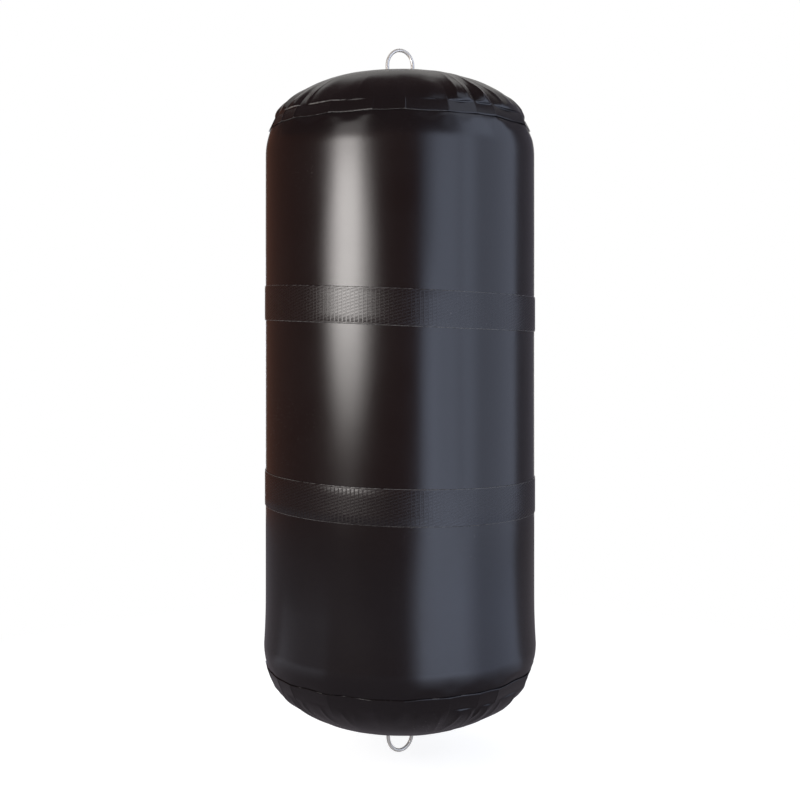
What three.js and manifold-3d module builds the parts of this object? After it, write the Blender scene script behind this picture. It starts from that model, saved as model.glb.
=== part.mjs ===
// Inflatable boat fender: a tube of coated fabric, closed at each end by a gathered fabric disc whose skirt is
// lapped over the tube and welded, with two woven wear bands and a steel D-ring in a webbing loop at each pole.
// Millimetres, +Z up. The origin is the inside of the top D-ring's crown, where the fender hangs from its line.

import * as THREE from 'three';
import { mergeVertices } from 'three/addons/utils/BufferGeometryUtils.js';
import Module from 'manifold-3d';

const wasm = await Module();
wasm.setup();

// Tube
const tubeRadius = 300;
const seamToSeam = 1187; // between the cut edges of the two end skirts
const lapWidth = 30; // long lap seam that makes the flat fabric a tube, at the back
const lapStep = 0.8; // how far the lap stands proud
const lapEdge = 1.2; // width of the lap's sloped edge

// Fabric and fits
const fabric = 1.2;
const layGap = 0.3; // kept between pieces laid on each other
const runningGap = 0.4; // round the D-ring's bar in its loop

// End discs. The depth is how far behind the skirt's cut edge the tube starts to curve in.
const ends = {
  top: { side: 1, curveDepth: 57, swell: 0, swellLength: 60 },
  bottom: { side: -1, curveDepth: 50, swell: 3.5, swellLength: 105 },
};
const weldWidth = 28;
const centreRadius = 66; // the flat middle that carries the ring's patch
const puffHeight = 7.5; // how far the gathered fabric stands over the weld
const puffRise = 3; // length in which it climbs from the weld
const puffCrest = 15; // distance from the weld to the top of a puff
const ridgeEndRadius = 184; // distance from the pole at which the ridges have died out
const edgeWaviness = 0.8; // of the hand-cut edge
const puckerDepth = 2.6; // dents in the tube behind the cut edge
const puckerSpread = 0.16; // half-width of a dent as a share of its tuck

// Tucks round each end: the width of each in degrees, starting at the +X side
const tuckWidths = [18, 19, 16, 19, 20, 18, 19, 16, 19, 19, 14, 13, 10, 20, 19, 13, 20, 11, 10, 24, 23];
const tuckColumns = [0, 0.1, 0.42, 0.75]; // places across a tuck: fold, foot of the fold, two on its face

// Wear bands: distance from the near seam and slope down towards +X, as they were welded on
const bandWidth = 75;
const bandThickness = 1.5;
const upperBand = { fromSeam: 396, slope: 0.042 };
const lowerBand = { fromSeam: 389, slope: 0.026 };

// D-rings, measured to the middle of the wire
const wire = 8;
const ringInnerWidth = 50;
const ringHeight = 54.5;
const ringCorner = 9;
const ringShoulder = 12; // height at which the straight sides turn into the bow
const topRingTurn = 13; // degrees about the pole
const bottomRingTurn = -24;

// Ring patches and loops
const ringPatchRadius = 62;
const ringPatchThickness = 2.5;
const strapWidth = 40;
const strapThickness = 1.8;
const strapLeg = 44; // reach of each leg from the bar
const strapFillet = 2;
const bottomLoopSlack = 5.6; // room between the patch and the bar in the lower loop

// Filling valve, on the back of the upper dome
const valveRadius = 130; // distance from the pole
const valvePatchRadius = 46;
const throatRadius = 14.5;
const socketRadius = 17;
const socketDepth = 18;
const pocketGap = 0.5;
const flangeRadius = 29;
const flangeThickness = 1.6;
const neckRadius = 19;
const neckHeight = 10;
const insertFlange = 1.6;
const insertInset = 1; // of the insert's flange behind the neck's rim
const insertWall = 2.7;
const insertDepth = 12;
const plugGap = 0.3;
const spokeWidth = 3;
const spokeHeight = 1.8;
const hubRadius = 3.6;
const stemRadius = 1.3;
const diaphragmThickness = 1;
const diaphragmRadius = 12.9;
const beadRadius = 2.4;
const capWall = 3.4;
const capBevel = 1;
const capGrips = 12;
const gripDepth = 0.9;

// Materials
const vinyl = new THREE.MeshStandardMaterial({ color: 0x18191b, roughness: 0.38, metalness: 0 });
const vinylPatch = new THREE.MeshStandardMaterial({ color: 0x151618, roughness: 0.45, metalness: 0 });
const webbing = new THREE.MeshStandardMaterial({ color: 0x1c1c1e, roughness: 0.7, metalness: 0 });
const steel = new THREE.MeshStandardMaterial({ color: 0xc9c9c6, roughness: 0.2, metalness: 1 });
const plastic = new THREE.MeshStandardMaterial({ color: 0x1b1c1e, roughness: 0.42, metalness: 0 });
const rubber = new THREE.MeshStandardMaterial({ color: 0x232323, roughness: 0.8, metalness: 0 });

const fender = new THREE.Group();

// Adds one piece to a group under its node's name.
function addPiece(group, name, geometry, material) {
  const mesh = new THREE.Mesh(geometry, material);
  mesh.name = name;
  group.add(mesh);
  return mesh;
}

// Volume enclosed by an indexed mesh, negative when its faces look inwards.
function signedVolume(geometry) {
  const position = geometry.getAttribute('position');
  const index = geometry.getIndex();
  const [a, b, c] = [new THREE.Vector3(), new THREE.Vector3(), new THREE.Vector3()];
  let volume = 0;
  for (let i = 0; i < index.count; i += 3) {
    a.fromBufferAttribute(position, index.getX(i));
    b.fromBufferAttribute(position, index.getX(i + 1));
    c.fromBufferAttribute(position, index.getX(i + 2));
    volume += a.dot(b.cross(c)) / 6;
  }
  return volume;
}

// Closed body through a stack of rings with equal numbers of points. An endless stack closes on itself, and any
// other ends in a fan at the middle of its first and last ring.
function loft(rings, endless = false) {
  const count = rings[0].length;
  const points = rings.flat();
  const index = [];
  const steps = endless ? rings.length : rings.length - 1;
  for (let i = 0; i < steps; i++) {
    const low = i * count;
    const high = ((i + 1) % rings.length) * count;
    for (let j = 0; j < count; j++) {
      const k = (j + 1) % count;
      index.push(low + j, low + k, high + k, low + j, high + k, high + j);
    }
  }
  if (!endless) {
    for (const [ring, start] of [[rings[0], 0], [rings.at(-1), (rings.length - 1) * count]]) {
      const middle = ring.reduce((sum, p) => sum.add(p), new THREE.Vector3()).divideScalar(count);
      points.push(middle);
      for (let j = 0; j < count; j++) {
        const edge = [start + j, start + ((j + 1) % count)];
        if (start === 0) edge.reverse();
        index.push(points.length - 1, ...edge);
      }
    }
  }
  const geometry = new THREE.BufferGeometry();
  geometry.setAttribute('position', new THREE.Float32BufferAttribute(points.flatMap((p) => p.toArray()), 3));
  geometry.setIndex(index);
  if (signedVolume(geometry) < 0) geometry.setIndex(index.reverse());
  return geometry;
}

// Turned body about +Z from [radius, height] points.
function turned(profile, segments) {
  const points = profile.map(([radius, height]) => new THREE.Vector2(radius, height));
  return new THREE.LatheGeometry(points, segments).rotateX(Math.PI / 2);
}

// Joins and cuts: a geometry as a solid, and a solid as a geometry.
function solidOf(geometry) {
  const bare = geometry.clone();
  bare.deleteAttribute('normal');
  bare.deleteAttribute('uv');
  const merged = mergeVertices(bare, 1e-3);
  if (signedVolume(merged) < 0) merged.setIndex([...merged.getIndex().array].reverse());
  const vertProperties = new Float32Array(merged.getAttribute('position').array);
  const triVerts = new Uint32Array(merged.getIndex().array);
  return new wasm.Manifold(new wasm.Mesh({ numProp: 3, vertProperties, triVerts }));
}

function geometryOf(solid) {
  const mesh = solid.getMesh();
  const geometry = new THREE.BufferGeometry();
  geometry.setAttribute('position', new THREE.Float32BufferAttribute(mesh.vertProperties, 3));
  geometry.setIndex([...mesh.triVerts]);
  return geometry;
}

// Shape of the ends. A flat disc that closes an inflated tube takes the curve of a foil balloon. Its slope is the
// angle between the surface's normal and the horizontal: 0 where the tube starts to curve in, 90 at the pole.
function balloonRise(radius, slope) {
  const steps = 60;
  let sum = 0;
  for (let i = 0; i < steps; i++) sum += Math.sqrt(Math.cos(((i + 0.5) / steps) * slope));
  return (radius / 2) * (sum * slope) / steps;
}

function slopeAtRise(radius, rise) {
  let [low, high] = [0, Math.PI / 2];
  for (let i = 0; i < 40; i++) {
    const middle = (low + high) / 2;
    if (balloonRise(radius, middle) < rise) low = middle;
    else high = middle;
  }
  return low;
}

// Slope reached after a distance along the curve towards the pole.
function slopeAfter(radius, slope, distance) {
  const steps = 20;
  for (let i = 0; i < steps; i++) slope += (2 * Math.sqrt(Math.cos(slope)) * distance) / steps / radius;
  return slope;
}

for (const end of Object.values(ends)) {
  end.radius = tubeRadius + end.swell;
  end.edgeSlope = slopeAtRise(end.radius, end.curveDepth);
  end.weldSlope = slopeAfter(end.radius, end.edgeSlope, weldWidth);
  end.ridgeEndSlope = Math.acos((ridgeEndRadius / end.radius) ** 2);
  end.puffSlope = (end.weldSlope + end.ridgeEndSlope) / 2;
  end.centreSlope = Math.acos((centreRadius / end.radius) ** 2);
  end.poleRise = balloonRise(end.radius, end.centreSlope) - end.curveDepth;
}

// Heights from the pole of the body outwards, the same at both ends
const patchFoot = layGap + fabric + layGap;
const strapFoot = patchFoot + ringPatchThickness + layGap;
const barHeight = strapFoot + wire / 2 + runningGap;
const ringInnerCrown = barHeight + ringHeight - wire / 2;

// Heights in the fender's own frame
const topPole = -ringInnerCrown;
ends.top.edge = topPole - ends.top.poleRise;
ends.bottom.edge = ends.top.edge - seamToSeam;
const bottomPole = ends.bottom.edge - ends.bottom.poleRise;

// Columns round the tube: the places across each tuck, and the two edges of the lap seam at the back
const tuckTotal = tuckWidths.reduce((sum, width) => sum + width, 0);
const tucks = [];
let turn = 0;
tuckWidths.forEach((width, number) => {
  const start = turn;
  turn += (width / tuckTotal) * 2 * Math.PI;
  tucks.push({ start, width: turn - start, strength: 0.85 + 0.25 * Math.sin(2.4 * number + 0.6) });
});

const lapMiddle = Math.PI / 2;
const lapHalf = lapWidth / 2 / tubeRadius;
const lapSlope = lapEdge / tubeRadius;
const lapColumns = [-lapHalf - lapSlope, -lapHalf, lapHalf, lapHalf + lapSlope].map((angle) => lapMiddle + angle);
const clearOfLap = (angle) => lapColumns.every((lap) => Math.abs(lap - angle) > 2 * lapSlope);
const columns = tucks
  .flatMap((tuck) => tuckColumns.map((place) => tuck.start + place * tuck.width))
  .filter(clearOfLap)
  .concat(lapColumns)
  .sort((a, b) => a - b);

// How far what lies on the tube is lifted by the lap seam at this angle.
function lapLift(angle) {
  const beyond = Math.abs(angle - lapMiddle) - lapHalf;
  return lapStep * THREE.MathUtils.clamp(1 - beyond / lapSlope, 0, 1);
}

function tuckAt(angle) {
  const tuck = tucks.findLast((each) => each.start <= angle + 1e-9);
  return { ...tuck, place: (angle - tuck.start) / tuck.width };
}

// Point on an end's curve, raised along the normal. The lap seam dies out above the weld.
function endPoint(end, slope, angle, lift) {
  const lapShare = THREE.MathUtils.clamp((end.puffSlope - slope) / (end.puffSlope - end.weldSlope), 0, 1);
  const out = lift + lapLift(angle) * lapShare;
  const radius = end.radius * Math.sqrt(Math.cos(slope)) + out * Math.cos(slope);
  const rise = balloonRise(end.radius, slope) - end.curveDepth + out * Math.sin(slope);
  return new THREE.Vector3(radius * Math.cos(angle), radius * Math.sin(angle), end.edge + end.side * rise);
}

// Rows of the smooth surface under an end disc, from the weld's top to the flat middle.
function domeSlopes(end) {
  return [end.weldSlope, end.puffSlope, end.ridgeEndSlope, (end.ridgeEndSlope + end.centreSlope) / 2, end.centreSlope];
}

function smoothRow(end, slope, lift) {
  return columns.map((angle) => endPoint(end, slope, angle, lift));
}

// Tube with the air it holds: one sealed body, dented behind each skirt where the tucks draw the fabric in.
function bodyGeometry() {
  const dent = (angle) => {
    const { place, strength } = tuckAt(angle);
    return puckerDepth * strength * Math.exp(-((Math.min(place, 1 - place) / puckerSpread) ** 2));
  };
  // Rows behind the skirt as shares of its slope, each with its share of the dents' depth.
  const dentedRows = [[0.82, 1], [0.45, 0.55], [0, 0]];
  const rowsOf = (end) => {
    const under = [end.edgeSlope, ...domeSlopes(end)].map((slope) => smoothRow(end, slope, 0));
    const dented = dentedRows.map(([share, depth]) =>
      columns.map((angle) => endPoint(end, end.edgeSlope * share, angle, -dent(angle) * depth)),
    );
    const rows = [...under.reverse(), ...dented];
    if (end.swell > 0) {
      for (const share of [0.5, 1]) {
        const depth = end.curveDepth + end.swellLength * share;
        const swell = end.swell * (1 - share) ** 2;
        rows.push(columns.map((angle) => tubePoint(angle, swell, end.edge - end.side * depth)));
      }
    }
    return rows;
  };
  return loft([...rowsOf(ends.bottom), ...rowsOf(ends.top).reverse()]);
}

function tubePoint(angle, lift, height) {
  const radius = tubeRadius + lapLift(angle) + lift;
  return new THREE.Vector3(radius * Math.cos(angle), radius * Math.sin(angle), height);
}

// End disc: smooth inside, with stepped tucks in the welded skirt and puffed ridges above it.
function endDiscGeometry(end) {
  const inner = layGap;
  const outer = layGap + fabric;
  const foot = tuckColumns[1];
  const weldStep = (place) => (place < foot ? 1 - place / foot : ((place - foot) / (1 - foot)) ** 1.3);
  const weldLift = ({ place }) => outer + 2 * fabric * weldStep(place);
  const puff = (place) => Math.sin(Math.PI * ((place + 0.95) % 1)) ** 0.8;
  const edgeShift = (angle) => (edgeWaviness / end.radius) * (Math.sin(3 * angle + 1) + Math.sin(7 * angle));
  const row = (slope, lift) => columns.map((angle) => endPoint(end, slope, angle, lift(tuckAt(angle))));
  const edgeRow = (lift) =>
    columns.map((angle) => endPoint(end, end.edgeSlope + edgeShift(angle), angle, lift(tuckAt(angle))));

  const crestSlope = slopeAfter(end.radius, end.weldSlope, puffCrest);
  const ridgeRow = (slope, share) =>
    row(slope, ({ place, strength }) => outer + puffHeight * strength * share * puff(place));
  const fade = Math.cos(((Math.PI / 2) * (end.puffSlope - crestSlope)) / (end.ridgeEndSlope - crestSlope));
  const [, , ...upper] = domeSlopes(end);
  const outside = [
    edgeRow(weldLift),
    row(end.weldSlope, weldLift),
    ridgeRow(slopeAfter(end.radius, end.weldSlope, puffRise), 0.75),
    ridgeRow(crestSlope, 1),
    ridgeRow(end.puffSlope, fade),
    ...upper.map((slope) => smoothRow(end, slope, outer)),
  ];
  const inside = [edgeRow(() => inner), ...domeSlopes(end).map((slope) => smoothRow(end, slope, inner))];
  return loft(end.side > 0 ? [...outside.reverse(), ...inside] : [...inside.reverse(), ...outside]);
}

// Wear band laid round the tube, lapped on itself over the tube's seam.
function bandGeometry(height, slope) {
  const half = bandWidth / 2;
  const section = [[0, -half], [bandThickness, -half], [bandThickness, half], [0, half]];
  const rings = section.map(([lift, offset]) =>
    columns.map((angle) => {
      const doubled = lift * (lapLift(angle) / lapStep);
      const tilt = -slope * tubeRadius * Math.cos(angle);
      return tubePoint(angle, layGap + lift + doubled, height + tilt + offset);
    }),
  );
  return loft(rings, true);
}

// Middle of the D-ring's wire, in its XZ plane: a straight bar at z 0, round corners, and an elliptic bow.
class RingLine extends THREE.CurvePath {
  constructor() {
    super();
    const half = (ringInnerWidth + wire) / 2;
    const flat = half - ringCorner;
    const point = (x, z) => new THREE.Vector3(x, 0, z);
    this.add(new THREE.LineCurve3(point(-flat, 0), point(flat, 0)));
    this.add(new THREE.QuadraticBezierCurve3(point(flat, 0), point(half, 0), point(half, ringCorner)));
    this.add(new THREE.LineCurve3(point(half, ringCorner), point(half, ringShoulder)));
    this.add(new RingBow(half, ringHeight - ringShoulder));
    this.add(new THREE.LineCurve3(point(-half, ringShoulder), point(-half, ringCorner)));
    this.add(new THREE.QuadraticBezierCurve3(point(-half, ringCorner), point(-half, 0), point(-flat, 0)));
  }
}

class RingBow extends THREE.Curve {
  constructor(half, rise) {
    super();
    this.half = half;
    this.rise = rise;
  }

  getPoint(share, target = new THREE.Vector3()) {
    const angle = Math.PI * share;
    return target.set(this.half * Math.cos(angle), 0, ringShoulder + this.rise * Math.sin(angle));
  }
}

// Wire bent along the ring's line: a round section carried round the closed line.
function ringGeometry() {
  const line = new RingLine();
  const stations = 36;
  const sides = 8;
  const rings = [];
  for (let i = 0; i < stations; i++) {
    const middle = line.getPointAt(i / stations);
    const along = line.getTangentAt(i / stations);
    const across = new THREE.Vector3(0, 1, 0);
    const out = new THREE.Vector3().crossVectors(across, along);
    const ring = [];
    for (let j = 0; j < sides; j++) {
      const angle = (j / sides) * 2 * Math.PI;
      const spoke = out.clone().multiplyScalar(Math.cos(angle)).addScaledVector(across, Math.sin(angle));
      ring.push(middle.clone().addScaledVector(spoke, wire / 2));
    }
    rings.push(ring);
  }
  return loft(rings, true);
}

// Webbing loop: two legs flat on the patch and an arch over the bar, extruded along the bar. Slack raises
// the arch on straight sides.
function strapGeometry(slack) {
  const inside = wire / 2 + runningGap;
  const archHeight = inside + slack;
  const outside = inside + strapThickness;
  const turnHeight = strapThickness + strapFillet;
  const shape = new THREE.Shape();
  shape.moveTo(-strapLeg, 0);
  shape.lineTo(-inside, 0);
  shape.lineTo(-inside, archHeight);
  shape.absarc(0, archHeight, inside, Math.PI, 0, true);
  shape.lineTo(inside, 0);
  shape.lineTo(strapLeg, 0);
  shape.lineTo(strapLeg, strapThickness);
  shape.lineTo(outside + strapFillet, strapThickness);
  shape.absarc(outside + strapFillet, turnHeight, strapFillet, -Math.PI / 2, -Math.PI, true);
  shape.lineTo(outside, archHeight);
  shape.absarc(0, archHeight, outside, 0, Math.PI, false);
  shape.lineTo(-outside, turnHeight);
  shape.absarc(-outside - strapFillet, turnHeight, strapFillet, 0, -Math.PI / 2, true);
  shape.lineTo(-strapLeg, strapThickness);
  shape.closePath();
  const strap = new THREE.ExtrudeGeometry(shape, { depth: strapWidth, bevelEnabled: false, curveSegments: 6 });
  strap.translate(0, 0, -strapWidth / 2);
  strap.rotateX(Math.PI / 2);
  return strap.rotateZ(Math.PI / 2);
}

// Round patch with a bevelled edge.
function ringPatchGeometry() {
  const bevel = ringPatchThickness / 3;
  const profile = [
    [0, 0],
    [ringPatchRadius, 0],
    [ringPatchRadius, ringPatchThickness - bevel],
    [ringPatchRadius - bevel, ringPatchThickness],
    [0, ringPatchThickness],
  ];
  return turned(profile, 36);
}

// A pole's ring with its patch and loop, built outwards from the pole of the body.
function addRing(name, height, side, turnDegrees, slack) {
  const pole = new THREE.Group();
  pole.position.z = height;
  pole.rotation.set(side > 0 ? 0 : Math.PI, 0, THREE.MathUtils.degToRad(turnDegrees));
  addPiece(pole, `${name}_ring_base`, ringPatchGeometry(), vinylPatch).position.z = patchFoot;
  addPiece(pole, `${name}_ring_loop`, strapGeometry(slack), webbing).position.z = strapFoot;
  addPiece(pole, `${name}_ring`, ringGeometry(), steel).position.z = barHeight + slack;
  fender.add(pole);
}

// Valve: the group's origin is on the fabric of the upper dome, with its axis along the dome's normal.
const valveSlope = Math.acos((valveRadius / ends.top.radius) ** 2);
const valveGroup = new THREE.Group();
valveGroup.position.copy(endPoint(ends.top, valveSlope, lapMiddle, layGap + fabric));
valveGroup.rotation.x = valveSlope - Math.PI / 2;
valveGroup.updateMatrix();

const valveFoot = layGap + fabric + layGap; // the flange's underside, on the patch
const neckTop = valveFoot + flangeThickness + neckHeight;

// A straight hole on the valve's axis, from a depth below the fabric up through everything.
function valveHole(depth) {
  const height = 2 * depth;
  const hole = new THREE.CylinderGeometry(socketRadius + pocketGap, socketRadius + pocketGap, height, 24);
  hole.rotateX(Math.PI / 2);
  return solidOf(hole.applyMatrix4(valveGroup.matrix));
}

// Everything under the upper dome, with the dome raised by a lift.
function underDome(lift) {
  return solidOf(loft(domeSlopes(ends.top).map((slope) => smoothRow(ends.top, slope, lift))));
}

function valvePatchSolid() {
  const reach = 60;
  const blank = new THREE.CylinderGeometry(valvePatchRadius, valvePatchRadius, reach, 32).rotateX(Math.PI / 2);
  const foot = 2 * layGap + fabric;
  return solidOf(blank.applyMatrix4(valveGroup.matrix))
    .intersect(underDome(foot + fabric))
    .subtract(underDome(foot))
    .subtract(valveHole(reach));
}

function valveBaseGeometry() {
  const lip = 0.8;
  const profile = [
    [throatRadius, -socketDepth],
    [socketRadius, -socketDepth],
    [socketRadius, valveFoot],
    [flangeRadius, valveFoot],
    [flangeRadius, valveFoot + flangeThickness / 2],
    [flangeRadius - lip, valveFoot + flangeThickness],
    [neckRadius, valveFoot + flangeThickness],
    [neckRadius, neckTop - lip],
    [neckRadius - lip, neckTop],
    [throatRadius, neckTop],
    [throatRadius, -socketDepth],
  ];
  return turned(profile, 24);
}

const insertRadius = throatRadius - plugGap;
const insertFoot = neckTop + layGap - insertDepth;
const insertTop = neckTop + layGap + insertFlange;

function valveInsertGeometry() {
  const bore = insertRadius - insertWall;
  const sleeve = [
    [bore, insertFoot],
    [insertRadius, insertFoot],
    [insertRadius, neckTop + layGap],
    [neckRadius - insertInset, neckTop + layGap],
    [neckRadius - insertInset, insertTop],
    [bore, insertTop],
    [bore, insertFoot],
  ];
  let solid = solidOf(turned(sleeve, 24));
  for (const angle of [0, 60, 120]) {
    const spoke = new THREE.BoxGeometry(2 * bore + insertWall, spokeWidth, spokeHeight);
    spoke.translate(0, 0, insertFoot + spokeHeight / 2).rotateZ(THREE.MathUtils.degToRad(angle));
    solid = solid.add(solidOf(spoke));
  }
  const hub = new THREE.CylinderGeometry(hubRadius, hubRadius, 2 * spokeHeight, 12).rotateX(Math.PI / 2);
  const hole = new THREE.CylinderGeometry(stemRadius + plugGap, stemRadius + plugGap, 5 * spokeHeight, 12);
  solid = solid.add(solidOf(hub.translate(0, 0, insertFoot + spokeHeight)));
  return geometryOf(solid.subtract(solidOf(hole.rotateX(Math.PI / 2).translate(0, 0, insertFoot))));
}

function valveDiaphragmGeometry() {
  const seat = insertFoot - layGap;
  const beadFoot = insertFoot + 2 * spokeHeight + layGap;
  const profile = [
    [0, seat - diaphragmThickness],
    [diaphragmRadius, seat - diaphragmThickness],
    [diaphragmRadius, seat],
    [stemRadius, seat],
    [stemRadius, beadFoot],
    [beadRadius, beadFoot],
    [stemRadius, beadFoot + beadRadius],
    [0, beadFoot + beadRadius],
  ];
  return turned(profile, 16);
}

// Screw cap with grips round its skirt, hollow below for the neck and the insert's flange.
const capFoot = valveFoot + flangeThickness + layGap;
const capCeiling = insertTop + layGap;
function valveCapGeometry() {
  const outer = neckRadius + runningGap + capWall;
  const pointsPerGrip = 4;
  const outline = new THREE.Shape();
  for (let i = 0; i < capGrips * pointsPerGrip; i++) {
    const angle = (i / capGrips / pointsPerGrip) * 2 * Math.PI;
    const radius = outer - (gripDepth / 2) * (1 - Math.cos(capGrips * angle));
    outline[i === 0 ? 'moveTo' : 'lineTo'](radius * Math.cos(angle), radius * Math.sin(angle));
  }
  outline.closePath();
  const height = capCeiling - capFoot + capWall;
  const blank = new THREE.ExtrudeGeometry(outline, {
    depth: height - 2 * capBevel,
    bevelThickness: capBevel,
    bevelSize: capBevel,
    bevelOffset: -capBevel,
    bevelSegments: 1,
  });
  blank.translate(0, 0, capFoot + capBevel);
  const bore = neckRadius + runningGap;
  const hollow = turned([[0, 0], [bore, 0], [bore, capCeiling], [0, capCeiling]], 24);
  return geometryOf(solidOf(blank).subtract(solidOf(hollow)));
}

addPiece(fender, 'body', geometryOf(solidOf(bodyGeometry()).subtract(valveHole(socketDepth + 2))), vinyl);
addPiece(fender, 'top_end_cap', geometryOf(solidOf(endDiscGeometry(ends.top)).subtract(valveHole(socketDepth))), vinyl);
addPiece(fender, 'bottom_end_cap', endDiscGeometry(ends.bottom), vinyl);
addPiece(fender, 'upper_wear_band', bandGeometry(ends.top.edge - upperBand.fromSeam, upperBand.slope), webbing);
addPiece(fender, 'lower_wear_band', bandGeometry(ends.bottom.edge + lowerBand.fromSeam, lowerBand.slope), webbing);
addRing('top', topPole, 1, topRingTurn, 0);
addRing('bottom', bottomPole, -1, bottomRingTurn, bottomLoopSlack);
addPiece(fender, 'valve_patch', geometryOf(valvePatchSolid()), vinylPatch);
addPiece(valveGroup, 'valve_base', valveBaseGeometry(), plastic);
addPiece(valveGroup, 'valve_insert', valveInsertGeometry(), plastic);
addPiece(valveGroup, 'valve_diaphragm', valveDiaphragmGeometry(), rubber);
addPiece(valveGroup, 'valve_cap', valveCapGeometry(), plastic);
fender.add(valveGroup);

export default fender;
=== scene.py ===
# %% [markdown]
# A tall inflatable boat fender: a tube of black coated fabric with gathered domed ends, two woven wear
# bands, a filling valve on the back of the upper dome and a steel D-ring at each pole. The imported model
# gives the sizes and places. This script makes the fine surfaces and finishes round it, in metres, +Z up.

# %% Load the frame
import math

import bpy
import numpy as np
from mathutils import Matrix, Vector, noise


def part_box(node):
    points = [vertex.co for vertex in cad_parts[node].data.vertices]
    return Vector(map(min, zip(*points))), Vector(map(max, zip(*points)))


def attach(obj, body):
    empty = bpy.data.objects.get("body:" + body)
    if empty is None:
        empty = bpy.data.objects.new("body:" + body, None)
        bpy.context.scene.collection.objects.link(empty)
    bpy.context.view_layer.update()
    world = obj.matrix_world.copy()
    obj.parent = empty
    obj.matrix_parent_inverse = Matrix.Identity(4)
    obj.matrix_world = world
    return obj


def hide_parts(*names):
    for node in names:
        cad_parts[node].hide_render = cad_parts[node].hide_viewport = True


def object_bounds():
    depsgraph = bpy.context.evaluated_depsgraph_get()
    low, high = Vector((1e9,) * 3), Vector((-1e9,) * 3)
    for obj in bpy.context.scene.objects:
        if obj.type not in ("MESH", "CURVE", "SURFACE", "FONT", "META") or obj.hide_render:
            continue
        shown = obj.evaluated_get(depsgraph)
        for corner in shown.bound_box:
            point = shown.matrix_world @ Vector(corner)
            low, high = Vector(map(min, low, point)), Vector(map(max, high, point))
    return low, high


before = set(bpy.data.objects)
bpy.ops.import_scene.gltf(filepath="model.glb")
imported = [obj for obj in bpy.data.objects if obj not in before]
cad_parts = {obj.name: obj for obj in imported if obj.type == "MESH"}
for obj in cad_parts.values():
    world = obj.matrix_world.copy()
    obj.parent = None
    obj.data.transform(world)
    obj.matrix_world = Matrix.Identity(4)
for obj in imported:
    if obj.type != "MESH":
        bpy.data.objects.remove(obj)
cad_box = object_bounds()
print("packed model:", len(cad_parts), "nodes, height", round(cad_box[1].z - cad_box[0].z, 3))

# %% [markdown]
# Every size is a named value, and every place comes from the frame. On the real fender the discs, bands
# and patches are welded to the tube. Here they lie on it with a small gap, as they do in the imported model,
# so the heights of the two poles of the bag follow from the patches that lie on them.

# %% Sizes and places
TUBE_RADIUS = 0.300
FABRIC = 0.0012
LAY_GAP = 0.0003
WELD_WIDTH = 0.028
CENTRE_RADIUS = 0.066
PATCH_FOOT = LAY_GAP + FABRIC + LAY_GAP
LAP_ANGLE = math.pi / 2
LAP_WIDTH = 0.030
LAP_STEP = 0.0008
LAP_EDGE = 0.0012

TOP_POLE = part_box("top_ring_base")[0].z - PATCH_FOOT
BOTTOM_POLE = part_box("bottom_ring_base")[1].z + PATCH_FOOT
print("poles of the bag:", round(TOP_POLE, 4), round(BOTTOM_POLE, 4))

# %% [markdown]
# The rim of each end disc is gathered into tucks, folded flat and welded to the tube. The tucks are
# uneven, as a person folds them. They could be scattered by chance, but then no fold would lie where the
# real one has it, so they are listed: their widths in degrees, the radius at which the faint ridge of each
# one has died out, and how far each one puffs out above the weld. The facets, the puffs, the puckers on
# the tube and the columns of every mesh below use the same tucks.

# %% Tucks
TUCK_WIDTHS = (18, 19, 16, 19, 20, 18, 19, 16, 19, 19, 14, 13, 10, 20, 19, 13, 18, 13, 10, 24, 23)
RIDGE_REACHES = (
    0.13, 0.16, 0.17, 0.18, 0.18, 0.18, 0.18, 0.16, 0.14, 0.15, 0.17,
    0.14, 0.16, 0.13, 0.15, 0.14, 0.10, 0.085, 0.08, 0.09, 0.12,
)
PUFF_STRENGTHS = (
    0.9, 0.6, 1.0, 0.7, 1.0, 0.5, 0.9, 0.7, 1.0, 0.6, 0.7,
    0.6, 0.55, 0.35, 0.12, 0.15, 0.3, 1.0, 1.0, 1.0, 0.8,
)

widths = np.array(TUCK_WIDTHS) / sum(TUCK_WIDTHS) * 2 * math.pi
tuck_starts = np.concatenate([[0.0], np.cumsum(widths)])


def columns(count, crowding):
    """Angles of the columns: a count of them in every tuck, crowded towards the folds."""
    steps = np.arange(count) / count
    places = steps - crowding * np.sin(2 * math.pi * steps)
    return (tuck_starts[:-1, None] + places[None, :] * widths[:, None]).ravel()


ANGLES = columns(count=22, crowding=0.13)
DISC_ANGLES = columns(count=46, crowding=0.10)


def tuck_at(angle, shift=0.0):
    """Number of the tuck at an angle, and the place across it from 0 to 1. The shift moves its start."""
    angle = np.mod(angle - shift, 2 * math.pi)
    number = np.clip(np.searchsorted(tuck_starts, angle, side="right") - 1, 0, len(widths) - 1)
    return number, (angle - tuck_starts[number]) / widths[number]


def tuck_strength(number):
    return np.array(PUFF_STRENGTHS)[np.mod(number, len(widths))]


print("columns round the tube and the discs:", len(ANGLES), len(DISC_ANGLES))

# %% [markdown]
# A flat disc that closes an inflated tube takes the curve of a foil balloon: round shoulders and a middle
# that is nearly flat. Half an ellipsoid comes close, but looks too pointed. The true curve is as short to
# write: its radius is a * sqrt(cos(slope)), where the slope of the surface's normal runs from 0 at the
# tube to 90 degrees at the pole. The table below follows it by its length from the disc's cut edge.

# %% Curve of the ends
CURVE_STEPS = 4000


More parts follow.
